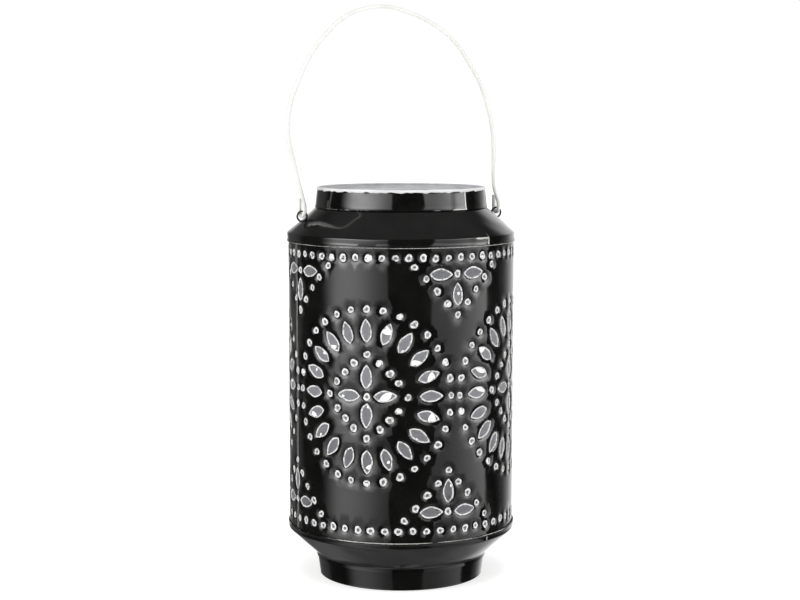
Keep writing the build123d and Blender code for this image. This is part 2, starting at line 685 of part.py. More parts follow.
def panel_lead(side):
    """From the cell's back, through the cap's plate, down to the board."""
    start = (side * PANEL_PAD[0], PANEL_PAD[1], POCKET_Z)
    below = (start[0], start[1], POCKET_Z - LEAD_DROP)
    pad = (side * BOARD_PAD_PANEL[0], BOARD_PAD_PANEL[1], BOARD_TOP_Z)
    over = (pad[0], pad[1], (below[2] + pad[2]) / 2)
    return tube(rounded_path([start, below, over, pad]), LEAD_R)


def battery_lead(side):
    """From a contact's tab, over the bay's roof, down to the board."""
    tab_x = side * (BAY_HALF_X - CONTACT_THICK / 2)
    start = (tab_x, BATTERY_Y - CONTACT_TAB_WIDTH / 2, BAY_TOP_Z + BAY_WALL + CONTACT_TAB / 2)
    roof_edge = (tab_x, BATTERY_Y - BAY_HALF_Y - BAY_WALL, start[2])
    pad = (side * BOARD_PAD_BATTERY[0], BOARD_PAD_BATTERY[1], BOARD_TOP_Z)
    return tube(rounded_path([start, roof_edge, (pad[0], pad[1], start[2]), pad]), LEAD_R)


def main():
    os.makedirs("parts", exist_ok=True)
    export("neck_collar", neck_collar())
    export("shoulder_cone", shoulder_cone())
    export("punched_sleeve", punched_sleeve())
    export("base_cone", base_cone())
    export("foot_ring", foot_ring())
    export("floor_plate", floor_plate())
    export("bail_eye_left", bail_eye(-1))
    export("bail_eye_right", bail_eye(1))
    export("bail_handle", bail_handle())
    export("module_top", module_top())
    export("module_bottom", module_bottom())
    export("seal_ring", seal_ring())
    export("solar_cell", solar_cell())
    export("cell_cover", cell_cover())
    export("housing_screws", screw_group(housing_posts(), CUP_Z, HOUSING_SCREW_LENGTH))
    export("battery", battery())
    export("contact_plus", contact(1))
    export("contact_minus", contact(-1))
    export("contact_spring", contact_spring())
    export("battery_door", battery_door())
    export("door_screws", screw_group(door_screws_at(), CUP_Z, DOOR_SCREW_LENGTH))
    export("driver_board", driver_board())
    export("driver_chip", driver_chip())
    export("inductor", inductor())
    export("board_screws", screw_group(board_screws_at(), BOARD_TOP_Z, BOARD_SCREW_LENGTH, 180))
    export("led_lamp", led_lamp())
    export("switch_case", switch_case())
    export("switch_slider", switch_slider())
    export("panel_lead_red", panel_lead(1))
    export("panel_lead_black", panel_lead(-1))
    export("battery_lead_red", battery_lead(1))
    export("battery_lead_black", battery_lead(-1))


main()
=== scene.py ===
import functools
import math
import random

import bpy
from mathutils import Euler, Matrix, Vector
from mathutils.geometry import delaunay_2d_cdt
from mathutils.kdtree import KDTree


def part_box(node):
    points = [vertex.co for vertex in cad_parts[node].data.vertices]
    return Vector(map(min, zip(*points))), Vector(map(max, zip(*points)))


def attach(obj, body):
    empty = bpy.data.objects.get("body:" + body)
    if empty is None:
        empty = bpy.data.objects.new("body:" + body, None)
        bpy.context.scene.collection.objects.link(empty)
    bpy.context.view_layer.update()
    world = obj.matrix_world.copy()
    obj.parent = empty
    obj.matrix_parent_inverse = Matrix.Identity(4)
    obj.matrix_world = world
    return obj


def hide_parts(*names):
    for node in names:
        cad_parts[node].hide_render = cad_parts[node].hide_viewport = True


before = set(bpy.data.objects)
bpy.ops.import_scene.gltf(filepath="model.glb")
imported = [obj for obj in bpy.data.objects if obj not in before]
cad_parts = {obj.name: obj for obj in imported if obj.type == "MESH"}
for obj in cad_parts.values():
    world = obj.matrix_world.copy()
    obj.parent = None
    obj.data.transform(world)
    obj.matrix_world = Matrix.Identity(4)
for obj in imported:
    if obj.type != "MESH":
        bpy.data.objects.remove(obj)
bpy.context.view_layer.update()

# Sizes are in millimetres and are multiplied by MM where a mesh or a node takes them.
# The body's axis is Z, the front is -Y, and angles round the body run from the front towards +X.
MM = 0.001
TURN = 2 * math.pi


def low_z(node):
    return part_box(node)[0].z / MM


def high_z(node):
    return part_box(node)[1].z / MM


# ---- Sizes from the frame ----
SLEEVE_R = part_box("punched_sleeve")[1].x / MM
SLEEVE_LOW = low_z("punched_sleeve")
SLEEVE_HIGH = high_z("punched_sleeve")
LOWER_SEAM = high_z("base_cone")
UPPER_SEAM = low_z("shoulder_cone")
LEDGE = high_z("shoulder_cone")
NECK_LOW = low_z("neck_collar")
RIM = high_z("neck_collar")
BASE_LOW = low_z("base_cone")
MIDDLE = (LOWER_SEAM + UPPER_SEAM) / 2

# ---- Sheet metal ----
SHEET = 0.6
SLEEVE_SHEET = 0.5
BAND_R = SLEEVE_R + SHEET
HEM = 0.4
HEM_HEIGHT = 1.3
# Rolled hem from its free edge: (share of HEM outwards, height from the seam).
HEM_SECTION = ((0.0, 0.0), (0.8, 0.12), (1.0, 0.4), (1.0, 0.9), (0.5, HEM_HEIGHT))
HEM_LINE = 0.7  # how far from the seam the hem's bright line runs: rubbed bare metal and painted highlight
SHOULDER_BAND = 5.8
SHOULDER_RISE = 16.3
SHOULDER_ROUND = 1.5
SHOULDER_DENTS = 2.6
NECK_FOOT_R = 57.8
NECK_STEP = 1.5  # millimetres up the wall and degrees round it
FLARE = 0.45  # how far the neck's foot turns out
FLARE_HEIGHT = 0.9
RIM_R = 56.4
# Rolled rim from the outside in: (out from RIM_R, down from RIM).
RIM_SECTION = ((0.3, 0.7), (0.3, 0.3), (0.05, 0.04), (-0.9, 0.0), (-1.35, 0.35), (-1.15, 0.9))
RIM_INSIDE = 3  # its points from this one on are inside
RIM_COAT = 1.9  # how far down the white coat runs over the rim
COAT_THICK = 0.12
THROAT_R = 51.5
THROAT_OUTER_R = 56.8
BASE_COLLAR_R = 57.6
BASE_COLLAR_HIGH = 15.2
BASE_BAND = 4.0
BASE_ROUND = 1.4
BASE_DENTS = 2.0
LAP_ANGLE = 27.0
LAP_WIDTH = 11.4  # degrees
CREASE_WIDTH = 1.6  # degrees over which the lap rises from the collar
LAP_EDGE = 0.85  # degrees along the lap's free edge where the neck's outer face gets the white coat as a painted reflection
LAP_COLUMNS = [27.1, 27.3, 27.9, 28.1]  # degrees round the free edge of the seam on the spun pieces
SPIN_SIDES = 240
SPIN_STEP = 2.5
SPIN_SHARP = 38  # degrees between faces from which an edge is drawn sharp
NECK_SHARP = 50
SEAM_ANGLE = -84.8  # the sleeve's soldered seam
SEAM_HALF = 0.9
SEAM_HIGHLIGHT_LINE = 0.4
SEAM_OUT = 70.0  # the seam's bright lines, bare metal and painted highlight, are drawn only this far out from the axis

# ---- Punched pattern, as arc lengths and heights on the sleeve ----
DOT_HOLE_R = 1.0
DOT_PITCHES = ((8.83, -36.0, UPPER_SEAM - 6.3), (9.17, -35.0, LOWER_SEAM + 7.4))
MEDALLION_ANGLE = -37.0
MEDALLION_R = 56.3
MEDALLION_DOTS = 32
MEDALLION_COUNT = 4
PETAL_RING_R = 42.4
PETAL_RING_COUNT = 20
DIAMOND_R = 27.3
DIAMOND_DOTS = 16
DIAMOND_POWER = 1.2
CROSS_R = 12.3
CROSS_PETALS = 4
FAN_TOP = 16.8
FAN_BOTTOM = 19.6
FAN_TOP_SHIFT = 1.3
FAN_BOTTOM_SHIFT = -5.3
FAN_PETAL_OUT = 12.1
FAN_PETAL_DOWN = 13.4
FAN_TIP = 26.7
FAN_STEPS = 4
FAN_STEP_OUT = 7.4
FAN_STEP_UP = 7.9
PETAL_HALF = (6.65, 2.85)
PETAL_GROW = (1.02, 0.95)  # a petal's loops widen less across it than along it
# Lips in their dishes: (distance outside the hole's edge, height from the sheet).
LIP_WIDTH = 1.6
LIP_SECTION = (
    (1.60, -0.34),
    (1.34, -0.56),
    (1.06, -0.52),
    (0.62, -0.34),
    (0.24, -0.46),
    (0.00, -0.80),
    (0.24, -1.10),
)
LIP_DEPTH = 1.2
LIP_LIFT = 0.6  # how much a lip that spreads also rises
DOT_COAT_ROW = 1  # rows of a lip from here on show the white coat
PETAL_COAT_ROW = 2
DISH_LEVEL = LIP_SECTION[0][1]
DISH_REACH = 2.0
DOT_UNEVEN = ((2, 0.09, 0.0), (3, 0.06, 1.1), (5, 0.03, 2.6))
PETAL_UNEVEN = ((2, 0.02, 0.8), (3, 0.035, 2.0), (5, 0.02, 0.3))
DOT_SIDES = 16
PETAL_SIDES = 24
WELD = 0.004

# ---- The flat sheet's mesh ----
GRID_STEP = 5.2
GRID_JITTER = 0.9
GRID_ROOM = (1.0, 2.6)  # from a lip to the grid's points, without and with supports
SUPPORTS = ((0.75, 14, 22), (1.6, 12, 18))  # out from the lip, points round a dot, points round a petal
SEAM_MARGIN = 16.0  # how far the sheet is drawn past each end of its turn before it is cut
GAP_REACH = 13.0  # how far off a mark is looked for
FAR = 99.0
EDGE_SLACK = 0.03
NORMAL_STEP = 0.05

# ---- Hand work: how uneven the punching and the rolled sheet are ----
SEED = 11
DOT_WANDER = 0.35
DOT_SIZE_SPREAD = 0.12
PETAL_WANDER = 0.3
PETAL_TURN_SPREAD = 3.0
PETAL_SIZE_SPREAD = 0.05
SWAY = ((3, 0.021, 0.4, 0.10), (7, 0.047, 1.9, 0.045), (11, 0.083, 3.1, 0.022), (2, 0.11, 5.0, 0.03))
GIRTH = TURN * SLEEVE_R
random.seed(SEED)

# ---- Small helpers ----
def ring(count, radius):
    """(x, y, angle) of evenly spaced points round a centre."""
    steps = [TURN * k / count for k in range(count)]
    return [(radius * math.cos(a), radius * math.sin(a), a) for a in steps]


def polar(out, degrees, height):
    """Point at an angle round the body."""
    angle = math.radians(degrees)
    return out * math.sin(angle), -out * math.cos(angle), height


def smooth_step(t):
    t = min(max(t, 0.0), 1.0)
    return t * t * (3 - 2 * t)


def near(value, centre, reach):
    """1 at a centre, falling to 0 at a reach from it."""
    return max(0.0, 1 - abs(value - centre) / reach)


def sway(arc, height):
    """Slow unevenness of the rolled sheet, the same all the way round."""
    turn = TURN * arc / GIRTH
    return sum(depth * math.sin(waves * turn + rate * height + start) for waves, rate, start, depth in SWAY)


def new_mesh(name, points, faces):
    """Mesh from millimetre points."""
    mesh = bpy.data.meshes.new(name)
    mesh.from_pydata([Vector(p) * MM for p in points], [], faces)
    return mesh


def add_attribute(mesh, name, kind, domain, values):
    mesh.attributes.new(name, kind, domain).data.foreach_set("value", values)


def new_object(name, data):
    piece = bpy.data.objects.new(name, data)
    bpy.context.scene.collection.objects.link(piece)
    return piece


# ---- Nodes ----
def new_group(name, kind, inputs, outputs):
    """Empty node group. Inputs give a socket's type, or a float socket's default; outputs give types."""
    group = bpy.data.node_groups.new(name, kind)

    def new_socket(label, way, kind):
        return group.interface.new_socket(label, in_out=way, socket_type="NodeSocket" + kind)
    for label, value in inputs.items():
        if isinstance(value, str):
            new_socket(label, "INPUT", value)
        else:
            new_socket(label, "INPUT", "Float").default_value = value
    for label, kind in outputs.items():
        new_socket(label, "OUTPUT", kind)
    return group, group.nodes.new("NodeGroupInput").outputs, group.nodes.new("NodeGroupOutput").inputs


def feed(socket, source):
    """Links an input to another socket, or sets its plain value."""
    if isinstance(source, bpy.types.NodeSocket):
        socket.id_data.links.new(source, socket)
    else:
        socket.default_value = source


def add_node(tree, kind, links=(), **values):
    """Node with its settings; links are (input, source socket or plain value)."""
    node = tree.nodes.new(kind)
    for key, value in values.items():
        setattr(node, key, value)
    for label, source in links:
        feed(node.inputs[label], source)
    return node


def object_point(tree):
    return add_node(tree, "ShaderNodeTexCoord").outputs["Object"]


def axes(vector):
    """The X, Y and Z sockets of a vector."""
    return add_node(vector.id_data, "ShaderNodeSeparateXYZ", [("Vector", vector)]).outputs


def noise(point, scale, detail):
    links = [("Vector", point), ("Scale", scale), ("Detail", detail)]
    return add_node(point.id_data, "ShaderNodeTexNoise", links).outputs[0]


def maths(operation, *values, **settings):
    """Maths node in the tree that the sockets among its values belong to."""
    tree = next(v for v in values if isinstance(v, bpy.types.NodeSocket)).id_data
    return add_node(tree, "ShaderNodeMath", enumerate(values), operation=operation, **settings).outputs[0]


def plus(a, b):
    return maths("ADD", a, b)


def minus(a, b):
    return maths("SUBTRACT", a, b)


def times(*factors):
    return functools.reduce(lambda a, b: maths("MULTIPLY", a, b), factors)


def absolute(a):
    return maths("ABSOLUTE", a)


def remap(value, low, high, to_low=0.0, to_high=1.0, smooth=True):
    kind = "SMOOTHSTEP" if smooth else "LINEAR"
    links = enumerate((value, low, high, to_low, to_high))
    return add_node(value.id_data, "ShaderNodeMapRange", links, interpolation_type=kind).outputs[0]


def make_coat_group():
    """Sprayed or moulded surface: long waves, fine peel and a gloss that varies."""
    inputs = {"Wave Scale": 25.0, "Wave": 0.6, "Peel Scale": 900.0, "Peel": 0.1}
    outputs = {"Height": "Float", "Gloss Change": "Float"}
    group, given, result = new_group("coat_surface", "ShaderNodeTree", inputs, outputs)
    point = object_point(group)
    wave = times(noise(point, given["Wave Scale"], 1.6), given["Wave"])
    peel = times(noise(point, given["Peel Scale"], 3.0), given["Peel"])
    feed(result["Height"], plus(wave, peel))
    feed(result["Gloss Change"], remap(noise(point, 60.0, 4.0), 0.3, 0.75))
    return group


def make_wear_and_highlight_group():
    """Broken mask that lets a lower coat show where an edge is rubbed; it also lays painted highlight lines
    along edges and seams.
    """
    inputs = {"Edge": 0.0, "Scale": 500.0, "Amount": 0.5}
    group, given, result = new_group("edge_wear_and_highlight", "ShaderNodeTree", inputs, {"Mask": "Float"})
    grain = noise(object_point(group), given["Scale"], 4.0)
    over = minus(plus(grain, given["Edge"]), minus(1.0, given["Amount"]))
    mask = maths("MULTIPLY", remap(over, 0.45, 0.62), given["Edge"], use_clamp=True)
    feed(result["Mask"], mask)
    return group


def scattered_cells(point, scale, share, edge, core, **settings):
    """Mask of a share of the cells of a Voronoi pattern: 1 inside core, 0 outside edge."""
    tree = point.id_data
    links = [("Vector", point), ("Scale", scale)]
    cells = add_node(tree, "ShaderNodeTexVoronoi", links, **settings).outputs
    chance = add_node(tree, "ShaderNodeSeparateColor", [("Color", cells["Color"])]).outputs[0]
    chosen = maths("LESS_THAN", chance, share)
    return times(chosen, remap(cells["Distance"], core, edge, 1.0, 0.0))


def make_speck_group():
    """Scattered specks, such as dust, flaws in enamel or grains in a moulding."""
    inputs = {"Scale": 400.0, "Share": 0.05}
    group, given, result = new_group("specks", "ShaderNodeTree", inputs, {"Mask": "Float"})
    mask = scattered_cells(object_point(group), given["Scale"], given["Share"], edge=0.28, core=0.12)
    feed(result["Mask"], mask)
    return group


COAT_SURFACE = make_coat_group()
EDGE_WEAR_AND_HIGHLIGHT = make_wear_and_highlight_group()
SPECKS = make_speck_group()


def use_group(tree, group, **values):
    """A group's outputs, with its inputs set by name."""
    node = tree.nodes.new("ShaderNodeGroup")
    node.node_tree = group
    for label, value in values.items():
        feed(node.inputs[label.replace("_", " ")], value)
    return node.outputs


def mix_colour(share, first, second):
    """Colour socket between two colours or colour sockets."""
    node = add_node(share.id_data, "ShaderNodeMix", [(0, share)], data_type="RGBA")
    sockets = [s for s in node.inputs if s.type == "RGBA"]
    for socket, value in zip(sockets, (first, second)):
        feed(socket, value if isinstance(value, bpy.types.NodeSocket) else (*value, 1.0))
    return next(s for s in node.outputs if s.type == "RGBA")


def add_bump(shader, height, depth):
    links = [("Height", height), ("Distance", depth), ("Strength", 1.0)]
    feed(shader.inputs["Normal"], add_node(height.id_data, "ShaderNodeBump", links).outputs[0])


def surface_material(name, colour, second, rough, rough_spread, wave=0.4, peel=0.1, depth=0.2,
                     wave_scale=25.0, peel_scale=900.0, **plain):
    """Coat or moulding whose colour, gloss and height (depth, in millimetres) vary.
    The other settings are the shader's own sockets."""
    material = bpy.data.materials.new(name)
    material.use_nodes = True
    tree = material.node_tree
    shader = tree.nodes["Principled BSDF"]
    for label, value in plain.items():
        feed(shader.inputs[label.replace("_", " ")], value)
    coat = use_group(tree, COAT_SURFACE, Wave=wave, Peel=peel, Wave_Scale=wave_scale, Peel_Scale=peel_scale)
    change = coat["Gloss Change"]
    feed(shader.inputs["Base Color"], mix_colour(change, colour, second))
    feed(shader.inputs["Roughness"], remap(change, 0.0, 1.0, rough, rough + rough_spread, smooth=False))
    add_bump(shader, coat["Height"], depth * MM)
    return material


def recolour(mask, colour, rough=None):
    """Lays one more colour over a material's colour where the mask is 1."""
    inputs = mask.id_data.nodes["Principled BSDF"].inputs
    before = inputs["Base Color"].links[0].from_socket
    feed(inputs["Base Color"], mix_colour(mask, before, colour))
    if rough is not None:
        old = inputs["Roughness"].links[0].from_socket
        blend = add_node(mask.id_data, "ShaderNodeMix", [(0, mask), (2, old), (3, rough)])
        feed(inputs["Roughness"], blend.outputs[0])


# ---- Enamel ----
BLACK = (0.0035, 0.0035, 0.0034)
BLACK_WORN = (0.007, 0.007, 0.0065)
BLACK_FLAW = (0.05, 0.05, 0.047)
WHITE = (0.80, 0.80, 0.80)
WHITE_SHADE = (0.68, 0.68, 0.69)
WHITE_FLAW = (0.38, 0.37, 0.35)
LIP_MOTTLE = (0.30, 0.30, 0.29)
# Bare metal at rubbed edges, also laid on as painted highlight lines along hems, seams and the neck's foot.
BARE_METAL_AND_HIGHLIGHT = (0.72, 0.72, 0.68)


def make_black_enamel():
    """Gloss black, with bare metal at rubbed edges and painted highlight lines of bare-metal colour along
    hems, the lap, the neck's foot and both sides of the sleeve's seam.
    """
    material = surface_material(
        "black_enamel", BLACK, BLACK_WORN, 0.07, 0.07, wave=1.0, peel=0.006, depth=0.30,
        wave_scale=34.0, peel_scale=700.0, Coat_Weight=0.35, Coat_Roughness=0.04,
    )
    tree = material.node_tree
    x, y, z = axes(object_point(tree))
    seam = math.radians(SEAM_ANGLE)
    across = plus(times(x, math.cos(seam)), times(y, math.sin(seam)))
    outward = minus(times(x, math.sin(seam)), times(y, math.cos(seam)))
    away = absolute(minus(absolute(across), SEAM_HALF * MM))
    # bright lines along both sides of the sleeve's seam: bare metal and painted highlight
    line = remap(away, 0.0, SEAM_HIGHLIGHT_LINE * MM, 0.8, 0.0)
    line = times(line, maths("GREATER_THAN", outward, SEAM_OUT * MM))
    on_sleeve = maths("COMPARE", z, MIDDLE * MM, (UPPER_SEAM - LOWER_SEAM) / 2 * MM)
    # per-point share of rubbed bare metal and painted highlight on the spun pieces
    rubbed_and_highlit = add_node(tree, "ShaderNodeAttribute", attribute_name="wear_and_highlight").outputs["Fac"]
    edge = maths("MAXIMUM", rubbed_and_highlit, times(line, on_sleeve))
    # bare-metal colour laid on as wear and as painted highlight lines
    recolour(use_group(tree, EDGE_WEAR_AND_HIGHLIGHT, Edge=edge, Scale=420.0, Amount=0.62)["Mask"], BARE_METAL_AND_HIGHLIGHT, 0.42)
    recolour(use_group(tree, SPECKS, Scale=120.0, Share=0.012)["Mask"], BLACK_FLAW)
    return material


def make_white_enamel():
    """White coat with flaws, mottled darker on the lips but not on the sleeve's inner wall."""
    material = surface_material(
        "white_enamel", WHITE, WHITE_SHADE, 0.30, 0.18, wave=0.35, peel=0.05, depth=0.12, Coat_Weight=0.2,
    )
    tree = material.node_tree
    recolour(use_group(tree, SPECKS, Scale=260.0, Share=0.05)["Mask"], WHITE_FLAW)

    def vector_maths(operation, *values):
        return add_node(tree, "ShaderNodeVectorMath", enumerate(values), operation=operation).outputs
    point = object_point(tree)
    flat = vector_maths("MULTIPLY", point, (1.0, 1.0, 0.0))[0]
    out = vector_maths("LENGTH", flat)["Value"]
    normal = add_node(tree, "ShaderNodeTexCoord").outputs["Normal"]
    facing = vector_maths("DOT_PRODUCT", normal, flat)["Value"]
    on_sleeve = maths("GREATER_THAN", out, (SLEEVE_R - LIP_DEPTH) * MM)
    on_lip = times(on_sleeve, maths("GREATER_THAN", facing, 0.0))
    # darker grey mottling from noise on the outward faces of the lips
    recolour(times(remap(noise(point, 620.0, 3.0), 0.50, 0.64), on_lip), LIP_MOTTLE)
    return material


BLACK_ENAMEL = make_black_enamel()
WHITE_ENAMEL = make_white_enamel()

# ---- The sleeve's pattern ----
def diamond_points():
    """Points of the rounded square on its corner, round a medallion's cross."""
    points = []
    for x, y, _ in ring(DIAMOND_DOTS, 1.0):
        stretch = (abs(x) ** DIAMOND_POWER + abs(y) ** DIAMOND_POWER) ** (-1 / DIAMOND_POWER)
        points.append((x * stretch * DIAMOND_R, y * stretch * DIAMOND_R))
    return points


def medallion(arc, height):
    spots = [(x, y) for x, y, _ in ring(MEDALLION_DOTS, MEDALLION_R)] + diamond_points() + [(0.0, 0.0)]
    leaves = ring(PETAL_RING_COUNT, PETAL_RING_R) + ring(CROSS_PETALS, CROSS_R)
    return [(arc + x, height + y) for x, y in spots], [(arc + x, height + y, a) for x, y, a in leaves]


def fan(arc, height, way):
    """Fan of dots and three petals; its tip points along way."""
    dots = [(arc, height)]
    for step in range(-FAN_STEPS, FAN_STEPS + 1):
        dots.append((arc + step * FAN_STEP_OUT, height + way * (FAN_TIP - abs(step) * FAN_STEP_UP)))
    petals = [(arc + side * FAN_PETAL_OUT, height, 0.0) for side in (-1, 1)]
    petals.append((arc, height + way * FAN_PETAL_DOWN, math.pi / 2))
    return dots, petals


def border(pitch, start_angle, height):
    count = round(GIRTH / pitch)
    start = math.radians(start_angle) * SLEEVE_R
    return [(start + GIRTH * k / count, height) for k in range(count)]


def punch_marks():
    """Dots (arc, height, size, turn) and petals (arc, height, size, turn), slightly uneven."""
    dots = [spot for row in DOT_PITCHES for spot in border(*row)]
    petals = []
    for step in range(MEDALLION_COUNT):
        arc = math.radians(MEDALLION_ANGLE) * SLEEVE_R + GIRTH * step / MEDALLION_COUNT
        midway = arc + GIRTH / MEDALLION_COUNT / 2
        groups = (
            medallion(arc, (LOWER_SEAM + UPPER_SEAM) / 2),
            fan(midway + FAN_TOP_SHIFT, UPPER_SEAM - FAN_TOP, -1),
            fan(midway + FAN_BOTTOM_SHIFT, LOWER_SEAM + FAN_BOTTOM, 1),
        )
        for group_dots, group_petals in groups:
            dots += group_dots
            petals += group_petals

    def uneven(arc, height, wander, size_spread, turn, turn_spread):
        arc = (arc + random.uniform(-wander, wander)) % GIRTH
        height += random.uniform(-wander, wander)
        size = 1 + random.uniform(-size_spread, size_spread)
        return arc, height, size, turn + math.radians(random.uniform(-turn_spread, turn_spread))

    dots = [uneven(x, y, DOT_WANDER, DOT_SIZE_SPREAD, 0.0, 180.0) for x, y in dots]
    petals = [uneven(x, y, PETAL_WANDER, PETAL_SIZE_SPREAD, a, PETAL_TURN_SPREAD) for x, y, a in petals]
    return dots, petals


def dot_loop(out, sides):
    """Loop round a dot's hole, at a distance outside its edge."""
    return [(x, y) for x, y, _ in ring(sides, DOT_HOLE_R + out)]


def petal_arcs(out):
    """Half length, bow and radius of the two arcs round a petal's hole, at a distance outside its edge."""
    half_length, half_width = (half + out * grow for half, grow in zip(PETAL_HALF, PETAL_GROW))
    bow = (half_length ** 2 - half_width ** 2) / (2 * half_width)
    return half_length, bow, bow + half_width


def petal_loop(out, sides):
    """Pointed loop round a petal's hole."""
    half_length, bow, radius = petal_arcs(out)
    reach = math.asin(half_length / radius)
    points = []
    for side in (1, -1):
        for k in range(sides // 2):
            angle = side * reach * (1 - 4 * k / sides)
            points.append((radius * math.sin(angle), side * (radius * math.cos(angle) - bow)))
    return points


def make_lip(name, loop, sides, coat_row, unevenness):
    """Lip of one hole in its dish: outer skin, rolled edge and inner skin."""
    points = [(x, y, DISH_LEVEL) for x, y in loop(LIP_WIDTH, sides)]
    for out, up in LIP_SECTION[1:]:
        for k, (x, y) in enumerate(loop(out, sides)):
            turn = TURN * k / sides
            grow = 1 + sum(depth * math.sin(waves * turn + start) for waves, depth, start in unevenness)
            points.append((x * grow, y * grow, up + LIP_LIFT * (grow - 1)))
    points += [(x, y, DISH_LEVEL - SLEEVE_SHEET) for x, y in loop(LIP_WIDTH, sides)]
    faces = []
    white = []
    for row in range(len(LIP_SECTION)):
        for k in range(sides):
            a, b = row * sides + k, row * sides + (k + 1) % sides
            faces.append((a, b, b + sides, a + sides))
            white.append(row >= coat_row)
    mesh = new_mesh(name, points, faces)
    add_attribute(mesh, "white", "BOOLEAN", "FACE", white)
    return bpy.data.objects.new(name, mesh)


def place(loop, mark):
    """A loop moved to a mark, sized and turned as its lip will be."""
    arc, height, size, turn = mark
    c, s = math.cos(turn) * size, math.sin(turn) * size
    return [(arc + x * c - y * s, height + x * s + y * c) for x, y in loop]


class Pattern:
    """The marks, and how far a point of the sleeve lies outside the nearest lip."""

    def __init__(self):
        self.dots, self.petals = punch_marks()
        self.marks = [(mark, False) for mark in self.dots] + [(mark, True) for mark in self.petals]
        self.tree = KDTree(3 * len(self.marks))
        for i, ((arc, height, _, _), _) in enumerate(self.marks):
            for shift in (-GIRTH, 0, GIRTH):
                self.tree.insert((arc + shift, height, 0.0), i)
        self.tree.balance()

    def gap(self, arc, height, skip=None):
        """Distance outside the nearest lip; below 0 inside one."""
        best = FAR
        for where, index, distance in self.tree.find_range((arc, height, 0.0), GAP_REACH):
            if index == skip:
                continue
            (_, _, size, turn), is_petal = self.marks[index]
            if not is_petal:
                best = min(best, distance - (DOT_HOLE_R + LIP_WIDTH) * size)
                continue
            dx, dy = arc - where.x, height - where.y
            c, s = math.cos(turn), math.sin(turn)
            along, across = abs(dx * c + dy * s) / size, abs(dy * c - dx * s) / size
            half_length, bow, radius = petal_arcs(LIP_WIDTH)
            past_tip = along > half_length and (along - half_length) * bow > across * half_length
            if past_tip:
                best = min(best, math.hypot(along - half_length, across) * size)
            else:
                best = min(best, (math.hypot(along, across + bow) - radius) * size)
        return best

    def height(self, arc, height):
        """Height of the sheet outside the lips: dishes round them and the slow sway."""
        gap = max(self.gap(arc % GIRTH, height), 0.0)
        return DISH_LEVEL * (1 - smooth_step(gap / DISH_REACH)) + sway(arc, height)


PATTERN = Pattern()


def blank_points(with_supports):
    """Points of one turn of the flat sheet: (arc, height, height out of the sheet or None)."""
    points = []
    for index, (mark, is_petal) in enumerate(PATTERN.marks):
        loop, sides = (petal_loop, PETAL_SIDES) if is_petal else (dot_loop, DOT_SIDES)
        lift = DISH_LEVEL + sway(mark[0], mark[1])
        points += [(x, y, lift) for x, y in place(loop(LIP_WIDTH, sides), mark)]
        for out, dot_sides, petal_sides in SUPPORTS if with_supports else ():
            spots = place(loop(LIP_WIDTH + out, petal_sides if is_petal else dot_sides), mark)
            room = out * 0.8 + 0.1
            points += [(x, y, None) for x, y in spots if PATTERN.gap(x % GIRTH, y, index) > room]
    columns = round(GIRTH / GRID_STEP)
    rows = round((SLEEVE_HIGH - SLEEVE_LOW) / GRID_STEP)
    wander = random.Random(SEED)

    def jitter(row):
        return 0 if row in (0, rows) else wander.uniform(-GRID_JITTER, GRID_JITTER)
    for column in range(columns):
        for row in range(rows + 1):
            x = GIRTH * (column + 0.5 * (row % 2)) / columns + jitter(row)
            y = SLEEVE_LOW + (SLEEVE_HIGH - SLEEVE_LOW) * row / rows + jitter(row)
            if PATTERN.gap(x % GIRTH, y) > GRID_ROOM[with_supports]:
                points.append((x, y, None))
    return [(x % GIRTH, y, lift) for x, y, lift in points]


def blank_sheet(with_supports, drop, flip):
    """One skin of the flat sheet with the lips' places left open, for exactly one turn."""
    base = blank_points(with_supports)
    wide = [(x + shift, y, lift) for x, y, lift in base for shift in (-GIRTH, 0, GIRTH)]
    wide = [p for p in wide if -SEAM_MARGIN <= p[0] <= GIRTH + SEAM_MARGIN]
    flat, _, faces, origins, _, _ = delaunay_2d_cdt([(x, y) for x, y, _ in wide], [], [], 0, 1e-5)
    points = []
    for spot, origin in zip(flat, origins):
        lift = wide[origin[0]][2]
        lift = PATTERN.height(spot.x, spot.y) if lift is None else lift
        points.append((spot.x, spot.y, lift - drop))
    kept = []
    for face in faces:
        x, y = (sum(points[i][axis] for i in face) / 3 for axis in (0, 1))
        if 0 <= x < GIRTH and PATTERN.gap(x, y) > -EDGE_SLACK:
            kept.append(face[::-1] if flip else face)
    used = sorted({i for face in kept for i in face})
    renumber = {old: new for new, old in enumerate(used)}
    return [points[i] for i in used], [tuple(renumber[i] for i in face) for face in kept]


def edge_strips(points, faces, inner_points, inner_faces):
    """Faces that close the sheet along its top and bottom edges."""
    def edge_row(some, height, start):
        row = [(p[0], start + i) for i, p in enumerate(some) if abs(p[1] - height) < 1e-4]
        return [i for _, i in sorted(row)]

    strips = []
    for height, flip in ((SLEEVE_LOW, True), (SLEEVE_HIGH, False)):
        outer = edge_row(points, height, 0)
        inner = edge_row(inner_points, height, len(points))
        for k in range(min(len(outer), len(inner)) - 1):
            face = (outer[k], outer[k + 1], inner[k + 1], inner[k])
            strips.append(face[::-1] if flip else face)
    return strips


